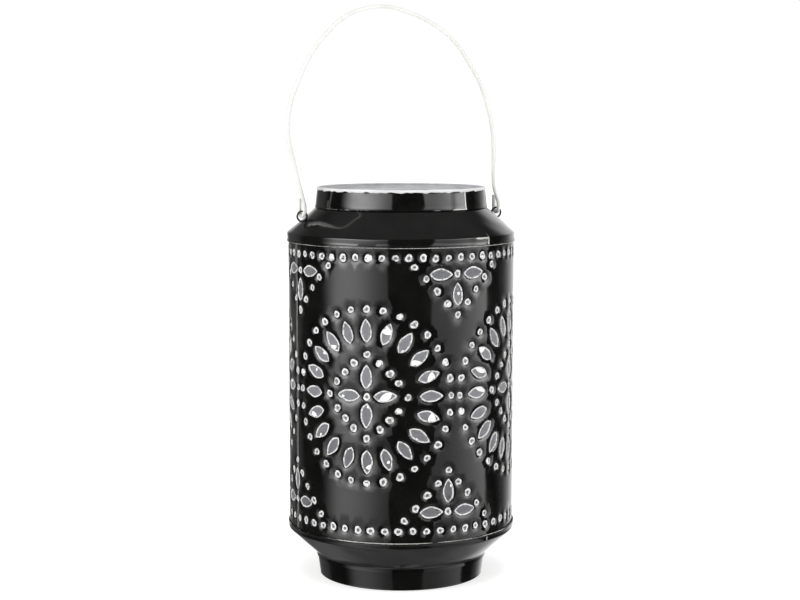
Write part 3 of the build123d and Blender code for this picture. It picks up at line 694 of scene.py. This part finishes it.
def sleeve_tree():
    """Lays a lip on every mark, welds them into the sheet and rolls it into a cylinder."""
    inputs = {
        "Sheet": "Geometry", "Dot Lip": "Object", "Petal Lip": "Object", "Radius": "Float",
        "Weld Distance": "Float", "Outer Coat": "Material", "Inner Coat": "Material",
    }
    tree, given, result = new_group("punched_sheet", "GeometryNodeTree", inputs, {"Sleeve": "Geometry"})

    def named(name, kind):
        node = add_node(tree, "GeometryNodeInputNamedAttribute", [("Name", name)], data_type=kind)
        return next(s for s in node.outputs if s.enabled and s.name == "Attribute")

    def chosen(value):
        links = [(2, named("kind", "INT")), (3, value)]
        equal = add_node(tree, "FunctionNodeCompare", links, data_type="INT", operation="EQUAL")
        return step("SeparateGeometry", given["Sheet"], Selection=equal.outputs[0])

    def step(kind, geometry, label="Geometry", **others):
        return add_node(tree, "GeometryNode" + kind, [(label, geometry), *others.items()]).outputs[0]

    turn = add_node(tree, "ShaderNodeCombineXYZ", [("Z", named("turn", "FLOAT"))]).outputs[0]
    rotation = add_node(tree, "FunctionNodeEulerToRotation", [(0, turn)]).outputs[0]
    size = named("size", "FLOAT")
    scale = add_node(tree, "ShaderNodeCombineXYZ", [("X", size), ("Y", size), ("Z", 1.0)]).outputs[0]
    join = tree.nodes.new("GeometryNodeJoinGeometry")
    tree.links.new(chosen(0), join.inputs[0])
    for value, label in ((1, "Dot Lip"), (2, "Petal Lip")):
        lip = add_node(tree, "GeometryNodeObjectInfo", [("Object", given[label])]).outputs["Geometry"]
        placing = {"Instance": lip, "Rotation": rotation, "Scale": scale}
        tree.links.new(step("InstanceOnPoints", chosen(value), "Points", **placing), join.inputs[0])
    real = step("RealizeInstances", join.outputs[0])

    arc, height, lift = axes(tree.nodes.new("GeometryNodeInputPosition").outputs[0])
    angle = maths("DIVIDE", arc, given["Radius"])
    out = plus(lift, given["Radius"])
    x, y = times(out, maths("SINE", angle)), times(out, maths("COSINE", angle), -1.0)
    rolled = add_node(tree, "ShaderNodeCombineXYZ", [("X", x), ("Y", y), ("Z", height)]).outputs[0]
    moved = step("SetPosition", real, Position=rolled)
    welded = step("MergeByDistance", moved, Distance=given["Weld Distance"])
    black = step("SetMaterial", welded, Material=given["Outer Coat"])
    white = named("white", "BOOLEAN")
    feed(result[0], step("SetMaterial", black, Selection=white, Material=given["Inner Coat"]))
    return tree


def run_tree(name, mesh, tree, values):
    """Plain mesh object from a mesh and a node tree with its inputs set."""
    source = new_object(name + "_source", mesh)
    modifier = source.modifiers.new("tree", "NODES")
    modifier.node_group = tree
    for item in tree.interface.items_tree:
        if item.in_out == "INPUT" and item.name in values:
            modifier[item.identifier] = values[item.name]
    source.update_tag()
    bpy.context.view_layer.update()
    graph = bpy.context.evaluated_depsgraph_get()
    evaluated = source.evaluated_get(graph)
    made = bpy.data.meshes.new_from_object(evaluated, preserve_all_data_layers=True, depsgraph=graph)
    made.name = name
    bpy.data.objects.remove(source)
    return new_object(name, made)


def sleeve_normals(mesh):
    """Exact normals outside the lips, so that the sheet's reflections stay smooth."""
    normals = []
    for vertex in mesh.vertices:
        x, y, z = (c / MM for c in vertex.co)
        arc = math.atan2(x, -y) * SLEEVE_R % GIRTH
        out = math.hypot(x, y) - SLEEVE_R
        if PATTERN.gap(arc, z) < 0.02 or abs(out - PATTERN.height(arc, z)) > 0.1:
            normals.append((0.0, 0.0, 0.0))
            continue
        ahead, behind = PATTERN.height(arc + NORMAL_STEP, z), PATTERN.height(arc - NORMAL_STEP, z)
        above, below = PATTERN.height(arc, z + NORMAL_STEP), PATTERN.height(arc, z - NORMAL_STEP)
        along, up = (ahead - behind) / (2 * NORMAL_STEP), (above - below) / (2 * NORMAL_STEP)
        angle = arc / SLEEVE_R
        radial = Vector((math.sin(angle), -math.cos(angle), 0.0))
        tangent = Vector((math.cos(angle), math.sin(angle), 0.0))
        normals.append((radial - tangent * along - Vector((0, 0, up))).normalized())
    mesh.normals_split_custom_set_from_vertices(normals)


def make_sleeve():
    """Two skins closed along their edges, with a lip on every mark."""
    outer_points, outer_faces = blank_sheet(True, 0.0, False)
    inner_points, inner_faces = blank_sheet(False, SLEEVE_SHEET, True)
    shift = len(outer_points)
    strips = edge_strips(outer_points, outer_faces, inner_points, inner_faces)
    faces = outer_faces + [tuple(i + shift for i in face) for face in inner_faces] + strips
    marks = PATTERN.dots + PATTERN.petals
    blank = shift + len(inner_points)
    points = outer_points + inner_points + [(arc, z, sway(arc, z)) for arc, z, _, _ in marks]
    kinds = [0] * blank + [1] * len(PATTERN.dots) + [2] * len(PATTERN.petals)
    mesh = new_mesh("sheet_blank", points, faces)
    add_attribute(mesh, "kind", "INT", "POINT", kinds)
    add_attribute(mesh, "size", "FLOAT", "POINT", [1.0] * blank + [mark[2] for mark in marks])
    add_attribute(mesh, "turn", "FLOAT", "POINT", [0.0] * blank + [mark[3] for mark in marks])
    white = [False] * len(outer_faces) + [True] * (len(inner_faces) + len(strips))
    add_attribute(mesh, "white", "BOOLEAN", "FACE", white)
    lips = {
        "Dot Lip": make_lip("dot_lip", dot_loop, DOT_SIDES, DOT_COAT_ROW, DOT_UNEVEN),
        "Petal Lip": make_lip("petal_lip", petal_loop, PETAL_SIDES, PETAL_COAT_ROW, PETAL_UNEVEN),
    }
    sizes = {"Radius": SLEEVE_R * MM, "Weld Distance": WELD * MM}
    coats = {"Outer Coat": BLACK_ENAMEL, "Inner Coat": WHITE_ENAMEL}
    sleeve = run_tree("sleeve_sheet", mesh, sleeve_tree(), {**lips, **sizes, **coats})
    for lip in lips.values():
        bpy.data.objects.remove(lip)
    sleeve.data.shade_smooth()
    sleeve_normals(sleeve.data)
    for name in ("kind", "size", "turn", "white"):
        old = sleeve.data.attributes.get(name)
        if old is not None:
            sleeve.data.attributes.remove(old)
    return sleeve


# ---- Spun and rolled pieces ----
def rounded_line(corners, radius, steps=5):
    """Polyline with its inner corners turned into arcs."""
    line = [corners[0]]
    for before, corner, after in zip(corners, corners[1:], corners[2:]):
        corner = Vector(corner)
        a, b = Vector(before) - corner, Vector(after) - corner
        reach = min(radius / math.tan(a.angle(b) / 2), 0.45 * a.length, 0.45 * b.length)
        start, end = corner + a.normalized() * reach, corner + b.normalized() * reach
        for k in range(steps + 1):
            t = k / steps
            line.append(tuple((1 - t) ** 2 * start + 2 * t * (1 - t) * corner + t * t * end))
    return line + [corners[-1]]


def split_long(line, longest):
    """Adds points on long runs, so that dents have something to move."""
    out = [line[0]]
    for a, b in zip(line, line[1:]):
        parts = max(1, math.ceil(math.dist(a, b) / longest))
        out += [tuple(Vector(a).lerp(Vector(b), k / parts)) for k in range(1, parts + 1)]
    return out


def offset_line(line, distance):
    """Line at a distance on the left of another."""
    result = []
    for i, point in enumerate(line):
        ways = []
        if i > 0:
            ways.append((Vector(point) - Vector(line[i - 1])).normalized())
        if i < len(line) - 1:
            ways.append((Vector(line[i + 1]) - Vector(point)).normalized())
        ways = [w for w in ways if w.length > 0.5]
        side = sum((Vector((-w.y, w.x)) for w in ways), Vector((0, 0))).normalized()
        lean = max(0.5, side.dot(Vector((-ways[0].y, ways[0].x))))
        result.append(tuple(Vector(point) + side * distance / lean))
    return result


def ring_sheet(name, rings, wear_and_highlight, coat_at, sharp):
    """Closed sheet through sections round the body. coat_at(ring, side) is 0 for black and 1 for white."""
    count = len(rings[0])
    faces, coats = [], []
    for k in range(len(rings)):
        here, there = k * count, (k + 1) % len(rings) * count
        for i in range(count):
            after = (i + 1) % count
            faces.append((here + i, there + i, there + after, here + after))
            coats.append(coat_at(k, i))
    mesh = new_mesh(name, [point for section in rings for point in section], faces)
    mesh.polygons.foreach_set("material_index", coats)
    # per-point share of rubbed bare metal and painted highlight
    add_attribute(mesh, "wear_and_highlight", "FLOAT", "POINT", wear_and_highlight)
    mesh.materials.append(BLACK_ENAMEL)
    mesh.materials.append(WHITE_ENAMEL)
    mesh.shade_smooth()
    mesh.set_sharp_from_angle(angle=math.radians(sharp))
    return new_object(name, mesh)


def spin_sheet(name, line, coats, wear_and_highlight_at, bulge):
    """Sheet spun from its outer face's line; coats are those of its outer face, end, inner face and start.
    The fourth argument gives how rubbed a point is and how much painted highlight lies on it, and bulge
    moves a point out by angle and height."""
    section = line + offset_line(line, SHEET)[::-1]
    run = len(line) - 1
    side_coats = [coats[0]] * run + [coats[1]] + [coats[2]] * run + [coats[3]]
    rings, wear_and_highlight = [], []
    for angle in sorted([360 * k / SPIN_SIDES for k in range(SPIN_SIDES)] + LAP_COLUMNS):
        rings.append([polar(r + bulge(angle, z), angle, z) for r, z in section])
        wear_and_highlight += [wear_and_highlight_at(r, z, angle) for r, z in section]
    return ring_sheet(name, rings, wear_and_highlight, lambda k, i: side_coats[i], SPIN_SHARP)


def slow_bulge(depth, phase):
    """Unevenness of a spun piece, by angle in degrees and height."""
    def bulge(angle, height):
        a = math.radians(angle)
        waves = math.sin(5 * a + 0.21 * height + phase) + 0.6 * math.sin(9 * a - 0.33 * height + 2 * phase)
        return depth * (waves + 0.4 * math.sin(17 * a + 0.6 * height))
    return bulge


def patches(angle, low, start):
    """Broken share, from low to 1, of an edge's bright line round the body: bare metal and painted
    highlight.
    """
    a = math.radians(angle)
    waves = math.sin(2 * a + start) + 0.8 * math.sin(5 * a + 2 * start)
    waves += 0.5 * math.sin(13 * a) + 0.4 * math.sin(29 * a)
    return low + (1 - low) * smooth_step(0.5 + 0.35 * waves)


def lap_rise(angle):
    """How far the lap's outer sheet stands out: it climbs over the start and ends at its free edge."""
    start = LAP_ANGLE - LAP_WIDTH
    return SHEET * smooth_step((angle - start) / CREASE_WIDTH) if start <= angle <= LAP_ANGLE else 0.0


def on_lap_edge(angle):
    return LAP_COLUMNS[1] <= angle <= LAP_COLUMNS[2]


def hem_line(seam, way):
    return [(BAND_R + HEM * out, seam + way * up) for out, up in HEM_SECTION]


def make_shoulder():
    """Rolled hem, upright edge, slope, throat and the ledge that the module sits on."""
    top = UPPER_SEAM + SHOULDER_BAND
    meet = top + SHOULDER_RISE * (BAND_R - THROAT_OUTER_R) / (BAND_R - NECK_FOOT_R)
    corners = [(BAND_R, UPPER_SEAM + HEM_HEIGHT + 0.3), (BAND_R, top), (THROAT_OUTER_R, meet)]
    corners += [(THROAT_OUTER_R, LEDGE), (THROAT_R, LEDGE)]
    line = hem_line(UPPER_SEAM, 1) + split_long(rounded_line(corners, SHOULDER_ROUND), SPIN_STEP)
    dents = slow_bulge(0.06, 0.7)

    # Bright lines of bare-metal colour along the hem, the lap's edge and the band's top corner: partly
    # rubbed metal and chips, partly painted highlight.
    def wear_and_highlight_at(r, z, angle):
        if r < THROAT_OUTER_R + 1 or z > meet - 2:
            return 0.0
        seam = on_lap_edge(angle) and UPPER_SEAM + 1 < z < top - 0.9
        corner = 0.8 * near(z, top - 0.4, 0.9) * (LAP_ANGLE - 8 < angle < LAP_COLUMNS[3])
        return max(near(z, UPPER_SEAM, HEM_LINE) * patches(angle, 0.7, 0.6), 0.95 * seam, corner)

    def bulge(angle, z):
        fade = smooth_step((z - UPPER_SEAM - 1.5) / 3) * smooth_step((meet - z) / 4)
        lap = 0.5 * lap_rise(angle - 1.0)
        lap *= smooth_step((z - UPPER_SEAM) / 1.5) * smooth_step((top + 3 - z) / 3)
        return dents(angle, z) * fade * SHOULDER_DENTS + lap
    return spin_sheet("shoulder_sheet", line, (0, 1, 1, 0), wear_and_highlight_at, bulge)


def make_base():
    """Collar round the foot, slope, upright edge and its hem."""
    corners = [(BASE_COLLAR_R, BASE_LOW), (BASE_COLLAR_R, BASE_COLLAR_HIGH)]
    corners += [(BAND_R, LOWER_SEAM - BASE_BAND), (BAND_R, LOWER_SEAM - HEM_HEIGHT - 0.3)]
    line = split_long(rounded_line(corners, BASE_ROUND), SPIN_STEP) + hem_line(LOWER_SEAM, -1)[::-1]
    dents = slow_bulge(0.06, 2.3)

    # Bright lines of bare-metal colour along the hem and the lap's edge: partly rubbed metal, partly
    # painted highlight.
    def wear_and_highlight_at(r, z, angle):
        seam = on_lap_edge(angle) and LOWER_SEAM - BASE_BAND < z < LOWER_SEAM - 1
        return max(near(z, LOWER_SEAM, HEM_LINE) * patches(angle, 0.15, 2.1), 0.55 * seam)

    def bulge(angle, z):
        fade = smooth_step((z - BASE_COLLAR_HIGH) / 4) * smooth_step((LOWER_SEAM - 1.5 - z) / 3)
        return dents(angle, z) * BASE_DENTS * fade
    return spin_sheet("base_sheet", line, (0, 0, 1, 0), wear_and_highlight_at, bulge)


def make_neck():
    """Rolled collar: a tapering wall with a turned foot, a white rim and the lap's free edge. A white line
    along the lap's free edge and a bare-metal line round the foot are painted reflection.
    """
    bulge = slow_bulge(0.035, 4.1)
    coat_z = RIM - RIM_COAT
    coat_r = RIM_R + (NECK_FOOT_R - RIM_R) * RIM_COAT / (RIM - NECK_LOW)
    rows = split_long([(NECK_FOOT_R, NECK_LOW), (RIM_R, RIM)], NECK_STEP)
    wall = [(r + FLARE * near(z, NECK_LOW, FLARE_HEIGHT), z) for r, z in rows if z < coat_z - 0.5]
    coat = [(coat_r, coat_z), (coat_r + COAT_THICK, coat_z + COAT_THICK)]
    rim = [(RIM_R + out, RIM - down) for out, down in RIM_SECTION]
    section = wall + coat + rim + [(r - SHEET, z) for r, z in rows[::-1] if z < RIM - 1.2]
    outside = len(wall) + len(coat) + RIM_INSIDE
    angles = [NECK_STEP * k for k in range(round(360 / NECK_STEP))]
    angles = sorted({*angles, LAP_ANGLE - LAP_EDGE, LAP_ANGLE + 0.04})
    rings, wear_and_highlight = [], []
    for angle in angles:
        a = math.radians(angle)
        ragged = 0.10 * math.sin(23 * a) + 0.09 * math.sin(41 * a + 1.0) + 0.07 * math.sin(67 * a + 2.0)
        at_lap = LAP_ANGLE - LAP_WIDTH < angle <= LAP_ANGLE
        # painted reflection: bright line of bare-metal colour round the neck's foot, strongest at the lap
        rubbed_and_highlit = 0.9 if at_lap else 0.45 * patches(angle, 0.0, 3.3)
        ring_points = []
        for i, (r, z) in enumerate(section):
            out = r + (lap_rise(angle) + bulge(angle, z) if i < outside else 0.0)
            if len(wall) <= i < len(wall) + len(coat):
                up = z + 2.2 * ragged
            else:
                up = min(z + 0.5 * ragged * (z > RIM - 1.3), RIM)
            ring_points.append(polar(out, angle, up))
            wear_and_highlight.append(rubbed_and_highlit * near(z, NECK_LOW, 0.8))
        rings.append(ring_points)

    def coat_at(k, i):
        # painted reflection: white coat on the outer face along the lap's free edge, from foot to rim
        lap_highlight = LAP_ANGLE - LAP_EDGE - 1e-6 < angles[k] < LAP_ANGLE + 0.01 and i < outside - 1
        return int(lap_highlight or len(wall) <= i < len(section) - 1)
    return ring_sheet("neck_sheet", rings, wear_and_highlight, coat_at, NECK_SHARP)


SHELLS = (
    (make_sleeve(), "punched_sleeve"),
    (make_shoulder(), "shoulder_cone"),
    (make_base(), "base_cone"),
    (make_neck(), "neck_collar"),
)
for shell, node in SHELLS:
    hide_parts(node)
    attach(shell, "lantern")


# ---- Finishes of the CAD nodes ----
def make_disc_enamel():
    """White above, black below: the loose floor disc."""
    material = surface_material("floor_enamel", WHITE, WHITE_SHADE, 0.3, 0.2, wave=0.3, peel=0.05)
    normal = add_node(material.node_tree, "ShaderNodeTexCoord").outputs["Normal"]
    recolour(remap(axes(normal)["Z"], -0.4, -0.6), BLACK, 0.12)
    return material


def make_cell():
    """Dark blue cell with fine fingers and two bus bars."""
    material = surface_material(
        "cell_silicon", (0.006, 0.012, 0.05), (0.012, 0.022, 0.085), 0.25, 0.1, Coat_Weight=0.6,
    )
    x, y, _ = axes(object_point(material.node_tree))

    def lines(along, pitch, width):
        return maths("LESS_THAN", maths("PINGPONG", along, pitch / 2 * MM), width / 2 * MM)
    both = maths("MAXIMUM", lines(x, 2.2, 0.18), lines(y, 26.0, 1.6))
    recolour(both, (0.45, 0.46, 0.48), 0.35)
    return material


def make_battery_wrap():
    """Plain green wrap with a black band at one end and bare steel at the tip."""
    material = surface_material(
        "battery_wrap", (0.03, 0.20, 0.08), (0.045, 0.26, 0.11), 0.28, 0.12, Coat_Weight=0.3,
    )
    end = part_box("battery")[1].x
    along = axes(object_point(material.node_tree))["X"]
    recolour(maths("GREATER_THAN", along, end - 9.0 * MM), (0.02, 0.02, 0.02))
    recolour(maths("GREATER_THAN", along, end - 1.2 * MM), (0.6, 0.6, 0.58), 0.3)
    return material


def make_coil():
    """Black ferrite flanges and copper turns."""
    material = surface_material(
        "copper_winding", (0.45, 0.17, 0.06), (0.62, 0.26, 0.10), 0.32, 0.15, Metallic=0.6,
    )
    low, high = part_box("inductor")
    up = axes(object_point(material.node_tree))["Z"]
    from_middle = absolute(minus(up, (low.z + high.z) / 2))
    flanges = maths("GREATER_THAN", from_middle, (high.z - low.z) / 2 - 0.9 * MM)
    recolour(flanges, (0.02, 0.02, 0.02), 0.6)
    add_bump(material.node_tree.nodes["Principled BSDF"], maths("PINGPONG", up, 0.15 * MM), 1.0)
    return material


def make_board():
    """Green laminate with square pads."""
    material = surface_material("board_laminate", (0.01, 0.10, 0.035), (0.015, 0.14, 0.05), 0.35, 0.15)
    point = object_point(material.node_tree)
    pads = scattered_cells(point, 260.0, 0.3, edge=0.14, core=0.10, distance="CHEBYCHEV")
    recolour(pads, (0.55, 0.55, 0.52), 0.3)
    return material


def make_bail_paint():
    """Off-white paint on wire: thick, slightly lumpy, rubbed in places."""
    material = surface_material(
        "cream_paint", (0.84, 0.84, 0.82), (0.76, 0.76, 0.73), 0.32, 0.18, wave=0.4, peel=0.03, depth=0.10,
        wave_scale=90.0, Coat_Weight=0.25,
    )
    chips = use_group(material.node_tree, SPECKS, Scale=170.0, Share=0.02)["Mask"]
    recolour(chips, (0.50, 0.49, 0.46), 0.45)
    return material


def plain_finish(name, tints, rough, spread, peel, depth, **others):
    return surface_material(name, *tints, rough, spread, peel=peel, depth=depth, **others)


def grey(value):
    return (value, value, value)


CAP_TINTS = ((0.66, 0.67, 0.70), (0.58, 0.59, 0.62))
CUP_TINTS = ((0.60, 0.61, 0.63), (0.53, 0.54, 0.56))
SEAL_TINTS = (grey(0.02), (0.035, 0.035, 0.034))
COVER_TINTS = ((0.95, 0.97, 0.98), (0.90, 0.94, 0.96))
SCREW_TINTS = (grey(0.50), (0.62, 0.61, 0.58))
NICKEL_TINTS = ((0.66, 0.63, 0.57), (0.74, 0.72, 0.66))
KNOB_TINTS = (grey(0.015), grey(0.03))
CHIP_TINTS = ((0.012, 0.012, 0.013), grey(0.03))
LENS_TINTS = ((0.90, 0.86, 0.62), (0.95, 0.92, 0.74))
RED_TINTS = ((0.42, 0.015, 0.015), (0.50, 0.03, 0.03))
BLACK_TINTS = (grey(0.012), grey(0.022))
DRAWN = {"wave": 0.1, "Metallic": 1.0}
CLEAR = {"Transmission_Weight": 1.0, "IOR": 1.49}
MILKY = {"Transmission_Weight": 0.45, "IOR": 1.5}
SCREWS = "housing_screws door_screws board_screws"
CONTACTS = "contact_plus contact_minus contact_spring switch_case"
FINISHES = (
    (BLACK_ENAMEL, "foot_ring bail_eye_left bail_eye_right"),
    (make_disc_enamel(), "floor_plate"),
    (make_bail_paint(), "bail_handle"),
    (plain_finish("cap_plastic", CAP_TINTS, 0.38, 0.15, 0.5, 0.06, peel_scale=2200.0), "module_top"),
    (plain_finish("cup_plastic", CUP_TINTS, 0.5, 0.15, 0.5, 0.06, peel_scale=1800.0),
     "module_bottom battery_door"),
    (plain_finish("seal_rubber", SEAL_TINTS, 0.65, 0.2, 0.5, 0.06), "seal_ring"),
    (make_cell(), "solar_cell"),
    (plain_finish("clear_cover", COVER_TINTS, 0.04, 0.06, 0.01, 0.02, **CLEAR), "cell_cover"),
    (plain_finish("screw_steel", SCREW_TINTS, 0.28, 0.15, 0.4, 0.02, **DRAWN), SCREWS),
    (make_battery_wrap(), "battery"),
    (plain_finish("nickel", NICKEL_TINTS, 0.2, 0.15, 0.4, 0.02, **DRAWN), CONTACTS),
    (plain_finish("knob_black", KNOB_TINTS, 0.5, 0.2, 0.4, 0.05), "switch_slider"),
    (make_board(), "driver_board"),
    (plain_finish("chip_black", CHIP_TINTS, 0.45, 0.2, 0.6, 0.04), "driver_chip"),
    (make_coil(), "inductor"),
    (plain_finish("lamp_lens", LENS_TINTS, 0.08, 0.05, 0.02, 0.03, **MILKY), "led_lamp"),
    (plain_finish("lead_red", RED_TINTS, 0.35, 0.15, 0.2, 0.04), "panel_lead_red battery_lead_red"),
    (plain_finish("lead_black", BLACK_TINTS, 0.35, 0.15, 0.2, 0.04), "panel_lead_black battery_lead_black"),
)
for finish, nodes in FINISHES:
    for node in nodes.split():
        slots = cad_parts[node].data.materials
        slots.clear()
        slots.append(finish)


# ---- Floor, light and camera, in metres ----
CAMERA_AZIMUTH = -20.0
CAMERA_OUT = 1.207175
CAMERA_HEIGHT = 0.316353
CAMERA_PITCH = 6.1456
CAMERA_SHIFT = -0.00125
LENS_MM = 80.71
FLOOR_R = 9.0
FLOOR_Z = -0.0002
FLOOR_GLOW = 0.62
WARM = (1.0, 0.99, 0.97)
# Soft fills: name, angle, distance, height, size, radiance, colour.
FILLS = (
    ("left_fill", -75.0, 1.5, 0.6, 1.2, 1.1, WARM),
    ("right_fill", 50.0, 1.5, 0.5, 1.2, 0.6, WARM),
    ("top_fill", -20.0, 1.0, 2.2, 1.3, 3.4, (1.0, 1.0, 1.0)),
)
FILL_AIM = Vector((0, 0, 0.15))
INSIDE_WATTS = 0.03

# What the gloss sees, as radiance; angles in degrees round the lantern from the front.
# Soft boxes: lit from, lit to, the two soft widths outside, hottest angle, reach, radiance at the ends
# and at the hottest angle.
SOFT_BOXES = (
    ((-86.0, -33.0, 24.0, 1.5, -76.0, 46.0), 0.55, 2.35),
    ((12.0, 74.0, 1.5, 5.0, 80.0, 60.0), 0.70, 2.10),
)
# Each fade is (from, to, value there, value there) of a direction's height or of its share along the view.
BOX_FOOT = (-0.40, -0.05, 0.35, 1.0)
BOX_GAIN = (-0.06, 0.18, 1.0, 2.4)
BOX_TOP = (0.35, 0.65, 1.0, 0.0)
CEILING = (0.45, 0.9, 0.0, 0.16)
TABLE = (-0.45, -0.85, 0.0, 0.20)
SIDE_WALL = (0.4, 0.6, 0.0, 0.12)
BACKDROP_TOP = (0.65, 0.35)
BACKDROP_SIDES = (-0.2, 0.2)  # the left and right halves of the backdrop blend between these
BACKDROP_START = (0.90, 0.56)
BACKDROP = (0.7, 0.95)
ROOM = 0.012
FILL = 0.62


def make_floor():
    """Round pale floor, kept out of the gloss, which sees a dim table instead."""
    material = surface_material(
        "pale_floor", (0.86, 0.86, 0.85), (0.84, 0.84, 0.83), 0.75, 0.1, wave=0.1,
        Specular_IOR_Level=0.1, Emission_Color=(1, 1, 1, 1), Emission_Strength=FLOOR_GLOW,
    )
    points = [(x, y, FLOOR_Z / MM) for x, y, _ in ring(128, FLOOR_R / MM)]
    floor = new_object("floor", new_mesh("floor", points, [tuple(range(len(points)))]))
    floor.data.materials.append(material)
    floor.visible_glossy = False


def hide_lamp(lamp):
    """The gloss sees the world's soft boxes, not the lamps."""
    lamp.visible_camera = False
    lamp.visible_glossy = False


def fill_light(name, azimuth, distance, height, size, radiance, colour):
    """Square of soft light for the plain surfaces."""
    data = bpy.data.lights.new(name, "AREA")
    data.shape = "SQUARE"
    data.size = size
    data.energy = radiance * math.pi * size * size
    data.color = colour
    lamp = new_object(name, data)
    lamp.location = polar(distance, azimuth, height)
    lamp.rotation_euler = (FILL_AIM - lamp.location).to_track_quat("-Z", "Y").to_euler()
    hide_lamp(lamp)


def make_inside_glow():
    data = bpy.data.lights.new("inside_glow", "POINT")
    data.energy = INSIDE_WATTS
    data.shadow_soft_size = 0.03
    data.color = (0.90, 0.91, 1.0)
    glow = new_object("inside_glow", data)
    glow.location = (0, 0, MIDDLE * MM)
    hide_lamp(glow)


def soft_box(azimuth, angles, base, peak):
    """Radiance of a soft box: 1 between two angles with soft ends, times a hump round the hottest angle."""
    low, high, soft_low, soft_high, centre, reach = map(math.radians, angles)
    lit = times(remap(azimuth, low - soft_low, low), remap(azimuth, high, high + soft_high, 1.0, 0.0))
    return times(lit, remap(absolute(minus(azimuth, centre)), 0.0, reach, peak, base))


def make_world():
    """White to the eye, an even fill for plain surfaces, and soft boxes and a backdrop for the gloss."""
    world = bpy.data.worlds.new("studio")
    bpy.context.scene.world = world
    world.use_nodes = True
    world.cycles.sampling_method = "NONE"
    tree = world.node_tree
    tree.nodes.clear()
    path = tree.nodes.new("ShaderNodeLightPath").outputs
    x, y, up = axes(add_node(tree, "ShaderNodeTexCoord").outputs["Generated"])
    azimuth = maths("ARCTAN2", x, times(y, -1.0))
    boxes = functools.reduce(plus, [soft_box(azimuth, *box) for box in SOFT_BOXES])
    boxes = times(boxes, remap(up, *BOX_FOOT), remap(up, *BOX_GAIN), remap(up, *BOX_TOP))
    behind_x, behind_y, _ = (-c for c in polar(1.0, CAMERA_AZIMUTH, 0.0))
    along = plus(times(x, behind_x), times(y, behind_y))
    across = minus(times(x, behind_y), times(y, behind_x))
    right = remap(across, *BACKDROP_SIDES)
    start = remap(right, 0.0, 1.0, *BACKDROP_START, smooth=False)
    bright = remap(right, 0.0, 1.0, *BACKDROP, smooth=False)
    back = plus(times(remap(along, start, 1.0), bright), remap(along, *SIDE_WALL))
    back = times(back, remap(up, *BACKDROP_TOP))
    gloss = functools.reduce(plus, (boxes, back, remap(up, *CEILING), remap(up, *TABLE), ROOM))
    seen = maths("MAXIMUM", path["Is Camera Ray"], path["Is Transmission Ray"])
    fill = add_node(tree, "ShaderNodeMix", [(0, path["Is Diffuse Ray"]), (2, gloss), (3, FILL)]).outputs[0]
    mixed = add_node(tree, "ShaderNodeMix", [(0, seen), (2, fill), (3, 1.0)]).outputs[0]
    glow = add_node(tree, "ShaderNodeBackground", [("Color", (1, 1, 1, 1)), ("Strength", mixed)])
    end = tree.nodes.new("ShaderNodeOutputWorld")
    tree.links.new(glow.outputs[0], end.inputs[0])


def make_camera():
    data = bpy.data.cameras.new("camera")
    data.sensor_width = 36.0
    data.lens = LENS_MM
    data.shift_x = CAMERA_SHIFT
    camera = new_object("camera", data)
    camera.location = polar(CAMERA_OUT, CAMERA_AZIMUTH, CAMERA_HEIGHT)
    tilt = math.radians(90.0 - CAMERA_PITCH)
    camera.rotation_euler = Euler((tilt, 0, math.radians(CAMERA_AZIMUTH)))
    bpy.context.scene.camera = camera


make_floor()
make_world()
for settings in FILLS:
    fill_light(*settings)
make_inside_glow()
make_camera()
bpy.context.scene.view_settings.view_transform = "Standard"
